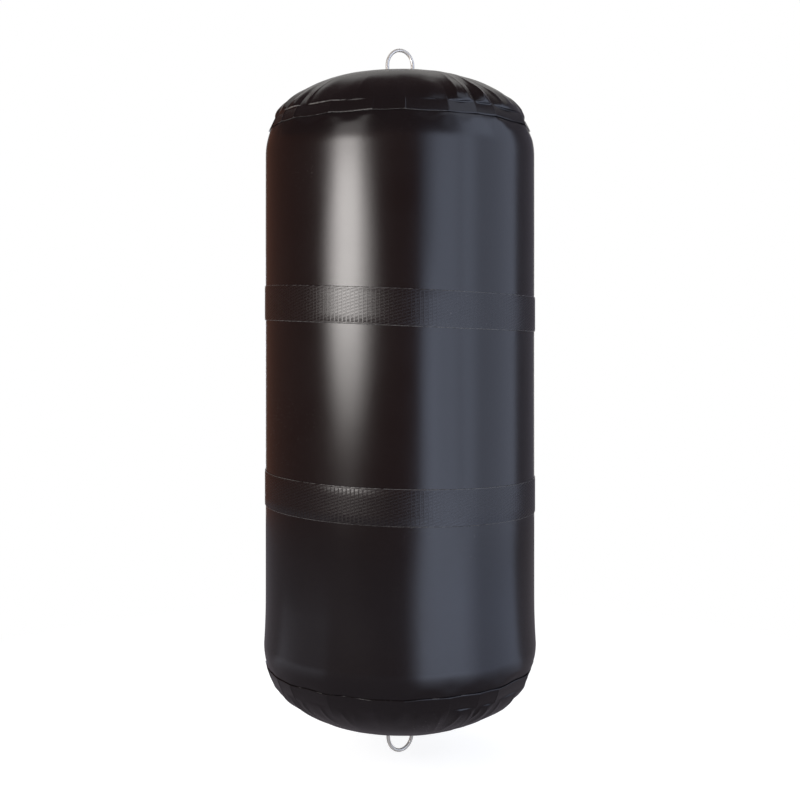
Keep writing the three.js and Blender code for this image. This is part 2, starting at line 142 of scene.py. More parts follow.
def make_end(side, pole, curve_depth, swell, swell_length, sag):
    """Table of one end's curve: length from the cut edge, slope, radius, and rise above the edge.

    The tube may swell towards the end, and the disc may sag behind its curve half way to the pole.
    """
    radius = TUBE_RADIUS + swell
    centre_slope = math.acos((CENTRE_RADIUS / radius) ** 2)
    slope = np.linspace(0, centre_slope, CURVE_STEPS)
    middle = (slope[1:] + slope[:-1]) / 2
    step = slope[1] - slope[0]
    rise = np.concatenate([[0.0], np.cumsum(radius / 2 * np.sqrt(np.cos(middle)) * step)]) - curve_depth
    length = np.concatenate([[0.0], np.cumsum(radius / 2 / np.sqrt(np.cos(middle)) * step)])
    length -= np.interp(0, rise, length)
    end = {
        "side": side,
        "radius": radius,
        "swell": swell,
        "swell_length": swell_length,
        "sag": sag,
        "slopes": slope,
        "lengths": length,
        "rises": rise,
        "edge": pole - side * rise[-1],
    }
    end["start"] = length[0]
    end["centre"] = length[-1]
    return end


TOP = make_end(1, TOP_POLE, curve_depth=0.057, swell=0.0, swell_length=0.060, sag=0.0)
BOTTOM = make_end(-1, BOTTOM_POLE, curve_depth=0.050, swell=0.0035, swell_length=0.105, sag=0.0046)
print("cut edges at", round(TOP["edge"], 4), round(BOTTOM["edge"], 4))

# %% [markdown]
# Three things disturb the smooth bag. The long lap seam at the back is twice as thick as the fabric. Near
# the welds the fabric runs straight from fold to fold, so a ring there is more a polygon than a circle.
# And a bag of fabric is never quite even. Bump in a material could fake all three, but a gloss surface
# gives itself away at its outline and in its reflections, so here they move the points themselves.

# %% Lap seam, facets and unevenness
FACET_FLATNESS = 0.75
FACET_FADE_TUBE = 0.028
FACET_FADE_DOME = 0.050
FACET_ROUNDING = 0.008
FACET_RISE = 0.0016
LAP_FADE = 0.040


def lap_lift(angle):
    """How far the long lap seam at the back lifts what lies on the tube."""
    turned = np.abs(np.mod(angle - LAP_ANGLE + math.pi, 2 * math.pi) - math.pi)
    beyond = turned * TUBE_RADIUS - LAP_WIDTH / 2
    return LAP_STEP * np.clip(1 - beyond / LAP_EDGE, 0, 1)


def facet(length, angle):
    """How far the folds stand out from the flat facets between them, near the weld."""
    number, place = tuck_at(angle)
    depth = FACET_FLATNESS * TUBE_RADIUS * (widths[number] / 2) ** 2 / 2
    behind = np.clip(-length / FACET_FADE_TUBE, 0, 1)
    beyond = np.clip((length - WELD_WIDTH) / FACET_FADE_DOME, 0, 1)
    fade = np.cos(np.maximum(behind, beyond) * math.pi / 2) ** 2
    sharp = (2 * place - 1) ** 2 - 1
    rounded = 0.5 * np.cos(2 * math.pi * place) - 0.5
    softness = np.clip(-length / FACET_ROUNDING, 0, 1)
    sunk = depth * (sharp + (rounded - sharp) * softness)
    return (sunk + FACET_RISE) * fade


def undulation(points, depth, fineness):
    """Slow unevenness of the inflated fabric; fineness is in waves per metre."""
    values = [noise.noise(Vector(point * fineness) + Vector((0, 0, 4.0))) for point in points]
    return depth * np.array(values)


def end_surface(end, length, angle, lift):
    """Points on an end, by length along its curve from the cut edge, angle, and lift along the normal."""
    slope = np.interp(length, end["lengths"], end["slopes"])
    beyond = np.clip(end["start"] - length, 0, None)
    swell = end["swell"] * (1 - np.clip(1 - beyond / end["swell_length"], 0, 1) ** 2)
    base = end["radius"] * np.sqrt(np.cos(slope)) - swell
    rise = np.interp(length, end["lengths"], end["rises"]) - beyond
    fade = np.clip(1 - (length - WELD_WIDTH) / LAP_FADE, 0, 1)
    climbed = np.clip((length - WELD_WIDTH) / (end["centre"] - WELD_WIDTH), 0, 1)
    out = lift + lap_lift(angle) * fade + facet(length, angle) - end["sag"] * np.sin(math.pi * climbed)
    radius = base + out * np.cos(slope)
    height = end["edge"] + end["side"] * (rise + out * np.sin(slope))
    return np.stack(np.broadcast_arrays(radius * np.cos(angle), radius * np.sin(angle), height), axis=-1)


# %% [markdown]
# Most pieces here are lofts: rings of points stacked along a line. Blender's Screw modifier makes round
# ones, but these rings are folded and wavy, and each follows its own formula, so they are worked out with
# NumPy. One helper turns such a grid into a mesh, closes its ends with fans, checks that its faces look
# outwards, and keeps two things that the materials need: a UV map in metres and an attribute that says
# where the fabric is cut, which on the end discs also says where a pale highlight is painted on.


# %% Mesh helpers
def enclosed_volume(points, faces):
    """What faces with three or four corners add to a closed mesh's volume, below 0 if it is inside out."""
    a, b, c = points[faces[:, 0]], points[faces[:, 1]], points[faces[:, 2]]
    volume = np.einsum("ij,ij->i", a, np.cross(b, c)).sum()
    if faces.shape[1] == 4:
        d = points[faces[:, 3]]
        volume += np.einsum("ij,ij->i", a, np.cross(c, d)).sum()
    return volume / 6


def loft(name, rows, endless=False, cut=None, uv=None):
    """Closed mesh through rings of points, an array of rows x columns x 3."""
    rows = np.asarray(rows, float)
    row_count, column_count = rows.shape[:2]
    row = np.arange(row_count if endless else row_count - 1)[:, None]
    column = np.arange(column_count)[None, :]
    after = (row + 1) % row_count
    beside = (column + 1) % column_count
    corners = [row * column_count + column, row * column_count + beside,
               after * column_count + beside, after * column_count + column]
    quads = np.stack(np.broadcast_arrays(*corners), axis=-1).reshape(-1, 4)
    points = rows.reshape(-1, 3)
    fans = []
    if not endless:
        last = (row_count - 1) * column_count
        ring = np.arange(column_count)
        following = (ring + 1) % column_count
        points = np.vstack([points, rows[0].mean(0), rows[-1].mean(0)])
        fans = [np.stack([np.full(column_count, len(points) - 2), following, ring], axis=1),
                np.stack([np.full(column_count, len(points) - 1), last + ring, last + following], axis=1)]
    inside_out = enclosed_volume(points, quads) + sum(enclosed_volume(points, fan) for fan in fans) < 0
    faces = quads.tolist() + [face for fan in fans for face in fan.tolist()]
    if inside_out:
        faces = [face[::-1] for face in faces]
    mesh = bpy.data.meshes.new(name)
    mesh.from_pydata(points.tolist(), [], faces)
    if cut is not None:
        values = np.zeros(len(points), np.float32)
        values[:row_count * column_count] = np.broadcast_to(cut, (row_count, column_count)).ravel()
        mesh.attributes.new("cut", "FLOAT", "POINT").data.foreach_set("value", values)
    if uv is not None:
        lay_uv(mesh, uv, quads, inside_out, column_count)
    mesh.shade_smooth()
    mesh.update()
    return link(mesh)


def lay_uv(mesh, uv, quads, inside_out, column_count):
    """UV map from an array of rows x (columns + 1) x 2, so that the last column meets the first."""
    uv = np.asarray(uv, float)
    row, column = np.divmod(quads, column_count)
    wraps = (column == 0) & (column[:, :1] == column_count - 1)
    corners = uv[row, np.where(wraps, column_count, column)]
    if inside_out:
        corners = corners[:, ::-1]
    values = np.zeros((len(mesh.loops), 2), np.float32)
    values[:corners.shape[0] * 4] = corners.reshape(-1, 2)
    mesh.uv_layers.new(name="UVMap").data.foreach_set("uv", values.ravel())


def link(mesh):
    piece = bpy.data.objects.new(mesh.name, mesh)
    bpy.context.scene.collection.objects.link(piece)
    return piece


def settle(piece, material, body="fender", stands_for=()):
    """Gives a piece its material and slot, and says what it rides on and stands for."""
    piece.data.materials.clear()
    piece.data.materials.append(material)
    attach(piece, body)
    if stands_for:
        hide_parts(*stands_for)
    print(piece.name, len(piece.data.polygons), "faces")
    return piece


# %% [markdown]
# Materials share a few effects: the fine grain pressed into coated fabric, pale scuffs and dust, the
# light core that a cut edge shows, which also paints pale highlights on the end discs, and a woven cloth.
# The nodes could be copied into every material, but then each change would be made many times. So each
# effect is one node group with named inputs, and the materials place it with their own values.


# %% Node group helper
def new_group(name, inputs, outputs):
    """Empty shader node group with its sockets: inputs as {name: value}, outputs as names."""
    tree = bpy.data.node_groups.new(name, "ShaderNodeTree")
    for label, value in inputs.items():
        kind = "NodeSocketColor" if isinstance(value, tuple) and len(value) == 4 else "NodeSocketFloat"
        kind = "NodeSocketVector" if isinstance(value, tuple) and len(value) == 3 else kind
        tree.interface.new_socket(label, in_out="INPUT", socket_type=kind).default_value = value
    for label in outputs:
        kind = "NodeSocketColor" if label == "Colour" else "NodeSocketFloat"
        tree.interface.new_socket(label, in_out="OUTPUT", socket_type=kind)
    return tree, tree.nodes.new("NodeGroupInput"), tree.nodes.new("NodeGroupOutput")


def add(tree, kind, settings=None, **links):
    """Adds a node. Settings are its properties, and links are its sockets, given a value or a socket.

    A socket is named, with _ for a space, or numbered, as in s0.
    """
    node = tree.nodes.new(kind)
    for key, value in (settings or {}).items():
        setattr(node, key, value)
    for key, value in links.items():
        socket = node.inputs[int(key[1:])] if key[1:].isdigit() else node.inputs[key.replace("_", " ")]
        if isinstance(value, bpy.types.NodeSocket):
            tree.links.new(value, socket)
        else:
            socket.default_value = value
    return node


def maths(tree, operation, first, second=0.0, clamp=False):
    node = add(tree, "ShaderNodeMath", {"operation": operation, "use_clamp": clamp}, s0=first, s1=second)
    return node.outputs[0]


def ramp(tree, value, low, high):
    """Value brought from low..high to 0..1, and held there."""
    node = add(tree, "ShaderNodeMapRange", {"clamp": True}, Value=value, From_Min=low, From_Max=high)
    return node.outputs[0]


# %% Grain of coated fabric
def make_grain():
    tree, given, result = new_group("coated_grain", {"Scale": 900.0, "Unevenness": 9.0}, ["Height", "Tone"])
    place = tree.nodes.new("ShaderNodeTexCoord").outputs["Object"]
    pebbles = add(tree, "ShaderNodeTexVoronoi", {"feature": "SMOOTH_F1"},
                  Vector=place, Scale=given.outputs["Scale"], Smoothness=0.6)
    threads = add(tree, "ShaderNodeTexNoise", Vector=place, Scale=given.outputs["Scale"], Detail=3.0)
    broad = add(tree, "ShaderNodeTexNoise", Vector=place, Scale=given.outputs["Unevenness"], Detail=4.0)
    height = maths(tree, "MULTIPLY_ADD", pebbles.outputs["Distance"], 0.5)
    tree.links.new(threads.outputs["Fac"], height.node.inputs[2])
    tree.links.new(height, result.inputs["Height"])
    tree.links.new(broad.outputs["Fac"], result.inputs["Tone"])
    return tree


# %% Scuffs and dust
def make_scuffs():
    inputs = {"Scale": 6.0, "Stretch": (1.0, 1.0, 1.0), "Amount": 0.5}
    tree, given, result = new_group("scuffs_and_dust", inputs, ["Mask", "Haze"])
    place = tree.nodes.new("ShaderNodeTexCoord").outputs["Object"]
    stretched = add(tree, "ShaderNodeVectorMath", {"operation": "MULTIPLY"}, s0=place,
                    s1=given.outputs["Stretch"]).outputs[0]
    patches = add(tree, "ShaderNodeTexNoise", Vector=place, Scale=given.outputs["Scale"], Detail=2.0)
    lines = add(tree, "ShaderNodeTexNoise", Vector=stretched, Scale=260.0, Detail=2.0, Roughness=0.7)
    specks = add(tree, "ShaderNodeTexVoronoi", Vector=place, Scale=170.0)
    where = ramp(tree, patches.outputs["Fac"], 0.55, 0.75)
    scratch = ramp(tree, lines.outputs["Fac"], 0.70, 0.78)
    speck = ramp(tree, specks.outputs["Distance"], 0.10, 0.04)
    marks = maths(tree, "MULTIPLY", maths(tree, "MAXIMUM", scratch, speck), where)
    tree.links.new(maths(tree, "MULTIPLY", marks, given.outputs["Amount"], clamp=True), result.inputs["Mask"])
    tree.links.new(where, result.inputs["Haze"])
    return tree


# %% Cut edge and painted highlight
def make_edge_core_and_highlight():
    tree, given, result = new_group("pale_edge_and_highlight", {"Cut": 0.0, "Breaks": 130.0, "Share": 0.5}, ["Mask"])
    place = tree.nodes.new("ShaderNodeTexCoord").outputs["Object"]
    fray = add(tree, "ShaderNodeTexNoise", Vector=place, Scale=given.outputs["Breaks"], Detail=3.0)
    wander = add(tree, "ShaderNodeTexNoise", Vector=place, Scale=5.0, Detail=1.0)
    level = maths(tree, "ADD", fray.outputs["Fac"], wander.outputs["Fac"])
    low = maths(tree, "SUBTRACT", 1.35, given.outputs["Share"])
    shown = ramp(tree, level, low, maths(tree, "ADD", low, 0.25))
    tree.links.new(maths(tree, "MULTIPLY", shown, given.outputs["Cut"], clamp=True), result.inputs["Mask"])
    return tree


# %% Woven cloth
def make_weave():
    inputs = {"Across": 400.0, "Along": 400.0, "Slant": 0.0, "Lines": 0.0}
    tree, given, result = new_group("woven_cloth", inputs, ["Height", "Tone"])
    flat = add(tree, "ShaderNodeSeparateXYZ", s0=tree.nodes.new("ShaderNodeTexCoord").outputs["UV"])
    leaning = maths(tree, "MULTIPLY_ADD", flat.outputs[0], given.outputs["Slant"])
    tree.links.new(flat.outputs[1], leaning.node.inputs[2])
    across = maths(tree, "SINE", maths(tree, "MULTIPLY", flat.outputs[0], given.outputs["Across"]))
    along = maths(tree, "SINE", maths(tree, "MULTIPLY", leaning, given.outputs["Along"]))
    both = maths(tree, "MULTIPLY", across, along)
    height = add(tree, "ShaderNodeMapRange", {"clamp": False},
                 Value=given.outputs["Lines"], To_Min=both, To_Max=along)
    tree.links.new(maths(tree, "MULTIPLY_ADD", height.outputs[0], 0.5), result.inputs["Height"])
    place = tree.nodes.new("ShaderNodeTexCoord").outputs["Object"]
    broad = add(tree, "ShaderNodeTexNoise", Vector=place, Scale=30.0, Detail=4.0)
    tree.links.new(broad.outputs["Fac"], result.inputs["Tone"])
    return tree


GRAIN = make_grain()
SCUFFS = make_scuffs()
CUT_EDGE_AND_HIGHLIGHT = make_edge_core_and_highlight()
WEAVE = make_weave()
print("node groups:", [tree.name for tree in bpy.data.node_groups])

# %% [markdown]
# Every material starts from the Principled shader. A number that is the same all over is set on the
# shader's own socket. Only what changes over the surface comes in through a link.


# %% Material helpers
def start_material(name, roughness, specular=0.5):
    material = bpy.data.materials.new(name)
    material.use_nodes = True
    tree = material.node_tree
    shader = tree.nodes["Principled BSDF"]
    shader.inputs["Roughness"].default_value = roughness
    shader.inputs["Specular IOR Level"].default_value = specular
    return material, tree, shader


def place_group(tree, group, **values):
    node = tree.nodes.new("ShaderNodeGroup")
    node.node_tree = group
    for key, value in values.items():
        socket = node.inputs[key]
        if isinstance(value, bpy.types.NodeSocket):
            tree.links.new(value, socket)
        else:
            socket.default_value = value
    return node


def mix_colour(tree, factor, first, second):
    node = tree.nodes.new("ShaderNodeMix")
    node.data_type = "RGBA"
    for socket, value in ((node.inputs[0], factor), (node.inputs[6], first), (node.inputs[7], second)):
        if isinstance(value, bpy.types.NodeSocket):
            tree.links.new(value, socket)
        else:
            socket.default_value = value
    return node.outputs[2]


def bump(tree, height, distance, strength=1.0, normal=None):
    node = add(tree, "ShaderNodeBump", Height=height, Distance=distance, Strength=strength)
    if normal is not None:
        tree.links.new(normal, node.inputs["Normal"])
    return node.outputs["Normal"]


def grey(level):
    return (level, level, level, 1.0)


# %% [markdown]
# The black vinyl is a dark colour under a semi-gloss skin. Its reflections do nearly all the work, so the
# roughness and a fine bump matter more than the colour. Dust and small scratches break the gloss in
# places, and where the fabric is cut its pale core shows. On the end discs the same pale colour is also a
# painted highlight, on the cut edge and the lip on the left of the front, where the strip lamp's light
# falls. The gathered ends were handled more than the tube, so they are a little rougher and more scuffed.

# %% Coated fabric
FABRIC_BLACK = (0.0030, 0.0018, 0.0021, 1.0)
FABRIC_WORN = (0.0054, 0.0038, 0.0042, 1.0)
PALE_CORE_AND_HIGHLIGHT = (0.30, 0.29, 0.28, 1.0)
SCUFF_PALE = (0.22, 0.21, 0.20, 1.0)


def coated_fabric(name, roughness, grain_depth, scuff_amount, scuff_stretch=(1.0, 1.0, 1.0), core_and_highlight_share=0.5):
    """Vinyl-coated fabric: grain, uneven gloss, a few scuffs, and a pale core at cut edges.

    The same pale colour also paints highlights where a mesh marks them.
    """
    material, tree, shader = start_material(name, roughness)
    grain = place_group(tree, GRAIN, Scale=900.0, Unevenness=7.0)
    scuffs = place_group(tree, SCUFFS, Scale=4.0, Stretch=scuff_stretch, Amount=scuff_amount)
    # The cut attribute marks cut edges, and on the end discs also painted highlights.
    cut = add(tree, "ShaderNodeAttribute", {"attribute_name": "cut"}).outputs["Fac"]
    core = place_group(tree, CUT_EDGE_AND_HIGHLIGHT, Cut=cut, Share=core_and_highlight_share)
    colour = mix_colour(tree, grain.outputs["Tone"], FABRIC_BLACK, FABRIC_WORN)
    colour = mix_colour(tree, scuffs.outputs["Mask"], colour, SCUFF_PALE)
    colour = mix_colour(tree, core.outputs["Mask"], colour, PALE_CORE_AND_HIGHLIGHT)
    tree.links.new(colour, shader.inputs["Base Color"])
    gloss = maths(tree, "MULTIPLY_ADD", scuffs.outputs["Mask"], 0.35)
    base = maths(tree, "MULTIPLY_ADD", grain.outputs["Tone"], 0.10)
    base.node.inputs[2].default_value = roughness - 0.05
    tree.links.new(base, gloss.node.inputs[2])
    tree.links.new(gloss, shader.inputs["Roughness"])
    tree.links.new(bump(tree, grain.outputs["Height"], grain_depth), shader.inputs["Normal"])
    return material


VINYL = coated_fabric("black_coated_fabric", roughness=0.22, grain_depth=0.00004, scuff_amount=0.5)
END_VINYL = coated_fabric("gathered_end_fabric", roughness=0.25, grain_depth=0.00006, scuff_amount=0.8,
                          scuff_stretch=(1.0, 1.0, 0.15), core_and_highlight_share=0.62)
PATCH_VINYL = coated_fabric("welded_patch_fabric", roughness=0.40, grain_depth=0.00008, scuff_amount=0.6,
                            scuff_stretch=(0.3, 1.0, 1.0))
print("coated fabrics:", VINYL.name, END_VINYL.name, PATCH_VINYL.name)

# %% [markdown]
# The bands and the straps are woven. Two crossed sine waves give a weave whose threads follow the piece,
# because they read its UV map, which is in metres. The threads could be modelled, but a band would need
# millions of faces. On the band one set of threads shows as slanting lines, so the group can go from the
# plain weave to those lines.


# %% Ribbed band and webbing
def woven(name, roughness, base, across, along, slant, depth, scuff_amount, lines=0.0):
    """Woven cloth; lines goes from a plain weave at 0 to slanting lines at 1."""
    material, tree, shader = start_material(name, roughness)
    cloth = place_group(tree, WEAVE, Across=2 * math.pi / across, Along=2 * math.pi / along,
                        Slant=slant, Lines=lines)
    scuffs = place_group(tree, SCUFFS, Scale=9.0, Stretch=(1.0, 1.0, 0.2), Amount=scuff_amount)
    cut = add(tree, "ShaderNodeAttribute", {"attribute_name": "cut"}).outputs["Fac"]
    core = place_group(tree, CUT_EDGE_AND_HIGHLIGHT, Cut=cut, Share=0.6)
    light = tuple(1.7 * part for part in base[:3]) + (1.0,)
    colour = mix_colour(tree, cloth.outputs["Tone"], base, light)
    colour = mix_colour(tree, scuffs.outputs["Mask"], colour, SCUFF_PALE)
    colour = mix_colour(tree, core.outputs["Mask"], colour, PALE_CORE_AND_HIGHLIGHT)
    tree.links.new(colour, shader.inputs["Base Color"])
    gloss = maths(tree, "MULTIPLY_ADD", cloth.outputs["Height"], 0.12)
    gloss.node.inputs[2].default_value = roughness
    tree.links.new(gloss, shader.inputs["Roughness"])
    tree.links.new(bump(tree, cloth.outputs["Height"], depth), shader.inputs["Normal"])
    return material


BAND_BLACK = (0.0034, 0.0022, 0.0025, 1.0)
STRAP_BLACK = (0.016, 0.016, 0.017, 1.0)
THREAD_BLACK = (0.03, 0.03, 0.031, 1.0)
BAND_CLOTH = woven("ribbed_band_cloth", 0.23, BAND_BLACK, across=0.0088, along=0.0066, slant=-0.33,
                   depth=0.000045, scuff_amount=0.4, lines=1.0)
WEBBING = woven("woven_strap", 0.62, STRAP_BLACK, across=0.0016, along=0.0022, slant=0.5,
                depth=0.0003, scuff_amount=0.2)
THREAD = woven("sewing_thread", 0.55, THREAD_BLACK, across=0.0008, along=0.0008, slant=1.0,
               depth=0.0001, scuff_amount=0.0)
print("woven cloths:", BAND_CLOTH.name, WEBBING.name, THREAD.name)

# %% [markdown]
# The rings are polished steel wire, and the valve is moulded plastic with a rubber flap. All three reuse
# the grain group, coarse and very shallow on the wire, fine on the mouldings. Wire this thin mirrors the
# white surroundings and would vanish before them, so it is only half metallic and its colour is held down.

# %% Steel, plastic and rubber
STEEL_DULL = (0.55, 0.53, 0.50, 1.0)
STEEL_BRIGHT = (0.66, 0.64, 0.61, 1.0)


def polished_steel():
    material, tree, shader = start_material("polished_stainless", 0.12)
    shader.inputs["Metallic"].default_value = 0.5
    grain = place_group(tree, GRAIN, Scale=240.0, Unevenness=60.0)
    colour = mix_colour(tree, grain.outputs["Tone"], STEEL_DULL, STEEL_BRIGHT)
    tree.links.new(colour, shader.inputs["Base Color"])
    gloss = maths(tree, "MULTIPLY_ADD", grain.outputs["Tone"], 0.16)
    gloss.node.inputs[2].default_value = 0.18
    tree.links.new(gloss, shader.inputs["Roughness"])
    tree.links.new(bump(tree, grain.outputs["Height"], 0.000002), shader.inputs["Normal"])
    return material


def moulded(name, base, roughness, depth):
    material, tree, shader = start_material(name, roughness)
    grain = place_group(tree, GRAIN, Scale=1600.0, Unevenness=40.0)
    light = tuple(1.6 * part for part in base[:3]) + (1.0,)
    tree.links.new(mix_colour(tree, grain.outputs["Tone"], base, light), shader.inputs["Base Color"])
    gloss = maths(tree, "MULTIPLY_ADD", grain.outputs["Tone"], 0.12)
    gloss.node.inputs[2].default_value = roughness - 0.06
    tree.links.new(gloss, shader.inputs["Roughness"])
    tree.links.new(bump(tree, grain.outputs["Height"], depth), shader.inputs["Normal"])
    return material


STEEL = polished_steel()
PLASTIC = moulded("moulded_valve_plastic", (0.018, 0.018, 0.019, 1.0), roughness=0.38, depth=0.00005)
RUBBER = moulded("valve_rubber", (0.022, 0.021, 0.021, 1.0), roughness=0.65, depth=0.0001)
print("hard materials:", STEEL.name, PLASTIC.name, RUBBER.name)

# %% [markdown]
# The tube is one sealed bag, blown tight. Cloth simulation would give its form too, but on a surface this
# large and smooth it would blur the seam and the puckers, which are only a millimetre high. So it is a
# loft of many fine rings, because a gloss surface shows every flat. It isn't a perfect cylinder: the
# fabric undulates between the ends, it puckers behind each fold, where the welded disc draws it in, and
# its long lap seam stands out at the back.

# %% Tube
PUCKER_DEPTH = 0.0008
PUCKER_SPREAD = 0.16
PUCKER_LENGTH = 0.062
GOLDEN_SHARE = 0.618
TUBE_STEP = 0.012
TUBE_WAVES = np.array([7.0, 7.0, 3.5])
TUBE_UNEVENNESS = 0.00035
FINE_LENGTH = 0.100
FINE_ROWS = 22
HIDDEN_ROWS = 16


def pucker(length, angle):
    """Depth of the dents behind the cut edge; length is negative on the tube.

    Steps of the golden share give each fold's dent a reach of its own.
    """
    number, place = tuck_at(angle)
    fold = np.mod(number + (place > 0.5), len(widths))
    nearest = np.minimum(place, 1 - place)
    reach = PUCKER_LENGTH * (0.65 + 0.6 * np.mod(fold * GOLDEN_SHARE, 1.0))
    away = np.clip(-length / reach, 0, 1)
    spread = PUCKER_SPREAD * (1 + 0.5 * away)
    fade = np.cos(away * math.pi / 2) ** 2
    return PUCKER_DEPTH * tuck_strength(fold) * np.exp(-((nearest / spread) ** 2)) * fade


def row_lengths():
    """Lengths of the visible rows of one half of the tube, closest together near the cut edge."""
    half = abs(TOP["edge"] - BOTTOM["edge"]) / 2
    near = -FINE_LENGTH * (np.linspace(0, 1, FINE_ROWS) ** 1.6)
    far = -np.arange(FINE_LENGTH + TUBE_STEP, half, TUBE_STEP)
    return np.concatenate([near, far])


def tube_half(end):
    """Rows of one half of the bag, from the pole to the middle."""
    hidden = np.linspace(end["centre"], 0.004, HIDDEN_ROWS)
    rows = [end_surface(end, length, ANGLES, 0.0) for length in hidden]
    for length in row_lengths():
        smooth = end_surface(end, length, ANGLES, 0.0)
        uneven = undulation(smooth, TUBE_UNEVENNESS, TUBE_WAVES)
        rows.append(end_surface(end, length, ANGLES, uneven - pucker(length, ANGLES)))
    return rows


tube = loft("fender_tube", tube_half(TOP) + tube_half(BOTTOM)[::-1])
settle(tube, VINYL, stands_for=["body"])

# %% [markdown]
# An end disc takes the most care. A flat disc has more rim than the tube has girth, so the spare length is
# folded under in tucks and welded flat, and each fold leaves a step. Above the weld the spare fabric
# stands out in puffs with sharp valleys between them, which soften into ridges and die out towards the
# pole. Sculpting by hand would do, but can't be repeated or corrected, so each of these forms is a short
# function of the length from the cut edge and the angle, and their sum lifts the points off the curve.
# The upper disc is gathered more than the lower one, so many sizes are given for the two sides, 1 and -1.

# %% Puffs, lips and creases of an end disc
PUFF_HEIGHT = {1: 0.0078, -1: 0.0044}
LIP_LENGTH = {1: 0.013, -1: 0.020}
LIP_OVERHANG = {1: 0.0050, -1: 0.0006}
EDGE_SHIFT = {1: 0.0, -1: -0.005}
PUFF_END_RADIUS = 0.215
RIDGE_HEIGHT = {1: 0.0014, -1: 0.0006}
VALLEY_SHIFT = 0.006
FOLD_FOOT = 0.020
FOLD_LAYERS = {1: (0.4, 0.6), -1: (0.3, 0.4)}
FACET_TILT = 0.0005
CREASE_FOOT = 0.014
LOWER_CREASES = 1.3
VALLEY_SOFTENING = 0.060
DISC_WAVES = np.array([14.0, 14.0, 14.0])
DISC_UNEVENNESS = 0.0008
DISC_RIPPLE = 0.0003
EDGE_WAVINESS = 0.0008
EDGE_ROUNDING = 0.0004
# Share of the pale colour painted as a highlight on the upper lip.
LIP_HIGHLIGHT = 0.35
LIP_ROWS = 8
DOME_ROWS = 63

# Sharp creases on the front of the upper disc: angles at the weld and at the far end in degrees, radius
# of the far end, height, and half width.
FRONT_CREASES = (
    (225.5, 231.0, 0.17, 0.0022, 0.0040),
    (251.0, 253.0, 0.20, 0.0012, 0.0060),
    (294.5, 300.0, 0.13, 0.0024, 0.0050),
    (300.0, 302.0, 0.16, 0.0020, 0.0036),
    (308.5, 309.0, 0.15, 0.0026, 0.0036),
    (321.0, 314.0, 0.17, 0.0016, 0.0040),
    (336.0, 326.0, 0.19, 0.0026, 0.0050),
)
FRONT_REACH = (215.0, 345.0)


def make_creases(side):
    """Creases of one disc: the listed ones in front, and two scattered ones over every other tuck."""
    chance = np.random.default_rng(5 - side)
    found = []
    for number, width in enumerate(widths):
        for share in chance.uniform((0.15, 0.55), (0.45, 0.85)):
            start = tuck_starts[number] + share * width
            finish = start + chance.uniform(-0.10, 0.10)
            reach, height, half = chance.uniform((0.15, 0.0008, 0.0035), (0.24, 0.0020, 0.0060))
            found.append((start, finish, reach, height * (1.0 if side > 0 else LOWER_CREASES), half))
    if side > 0:
        low, high = np.radians(FRONT_REACH)
        found = [crease for crease in found if not low < crease[0] < high]
        found += [(math.radians(a), math.radians(b), r, h, w) for a, b, r, h, w in FRONT_CREASES]
    return found


def crease_height(end, length, angles):
    """Height of all the creases on one ring of a disc."""
    total = np.zeros(len(angles))
    radius = end["radius"] * np.sqrt(np.cos(np.interp(np.mean(length), end["lengths"], end["slopes"])))
    for start, finish, reach, height, half in end["creases"]:
        share = np.clip((length - WELD_WIDTH) / (length_at(end, reach) - WELD_WIDTH), 0, 1)
        away = np.mod(angles - start - (finish - start) * share ** 1.4 + math.pi, 2 * math.pi) - math.pi
        foot = np.clip((length - WELD_WIDTH) / CREASE_FOOT, 0, 1)
        rise = foot * np.cos(share * math.pi / 2) ** 1.5
        total += height * rise * np.exp(-(np.abs(away) * radius / half) ** 1.4)
    return total


def weld_lift(side, number, place):
    """Height of the folded layers across a tuck. Each face lies at a slightly different tilt."""
    climb = np.clip((place - FOLD_FOOT) / (1 - FOLD_FOOT), 0, 1)
    drop = np.clip(1 - place / FOLD_FOOT, 0, 1)
    fewest, more = FOLD_LAYERS[side]
    layers = fewest + more * tuck_strength(number - (place < FOLD_FOOT))
    steps = layers * FABRIC * np.where(place < FOLD_FOOT, drop, climb ** 1.3)
    return LAY_GAP + FABRIC + steps + FACET_TILT * (1 + np.sin(2.1 * number + 0.4)) * (1 - climb)


def puff(place, softness):
    """Swelling between two valleys: round with sharp valleys, or with softness 1 an even wave."""
    across = place ** 1.15
    lobe = np.sin(math.pi * across) ** 0.7
    wave = 0.5 - 0.5 * np.cos(2 * math.pi * across)
    return lobe + (wave - lobe) * softness


def length_at(end, radius):
    """Length from the cut edge at which the end's curve has shrunk to a radius."""
    return np.interp(np.arccos((radius / end["radius"]) ** 2), end["slopes"], end["lengths"])


def fade_between(length, start, finish):
    """Smooth fall from 1 at a start to 0 at a finish."""
    share = np.clip((length - start) / (finish - start), 0, 1)
    return np.cos(share * math.pi / 2) ** 2


def sway(length, angle):
    """Ridges wander sideways as they climb from the weld."""
    climb = np.clip((length - WELD_WIDTH) / 0.15, 0, 1)
    return climb ** 1.5 * (0.07 * np.sin(3 * angle + 0.8) + 0.03 * np.sin(8 * angle))


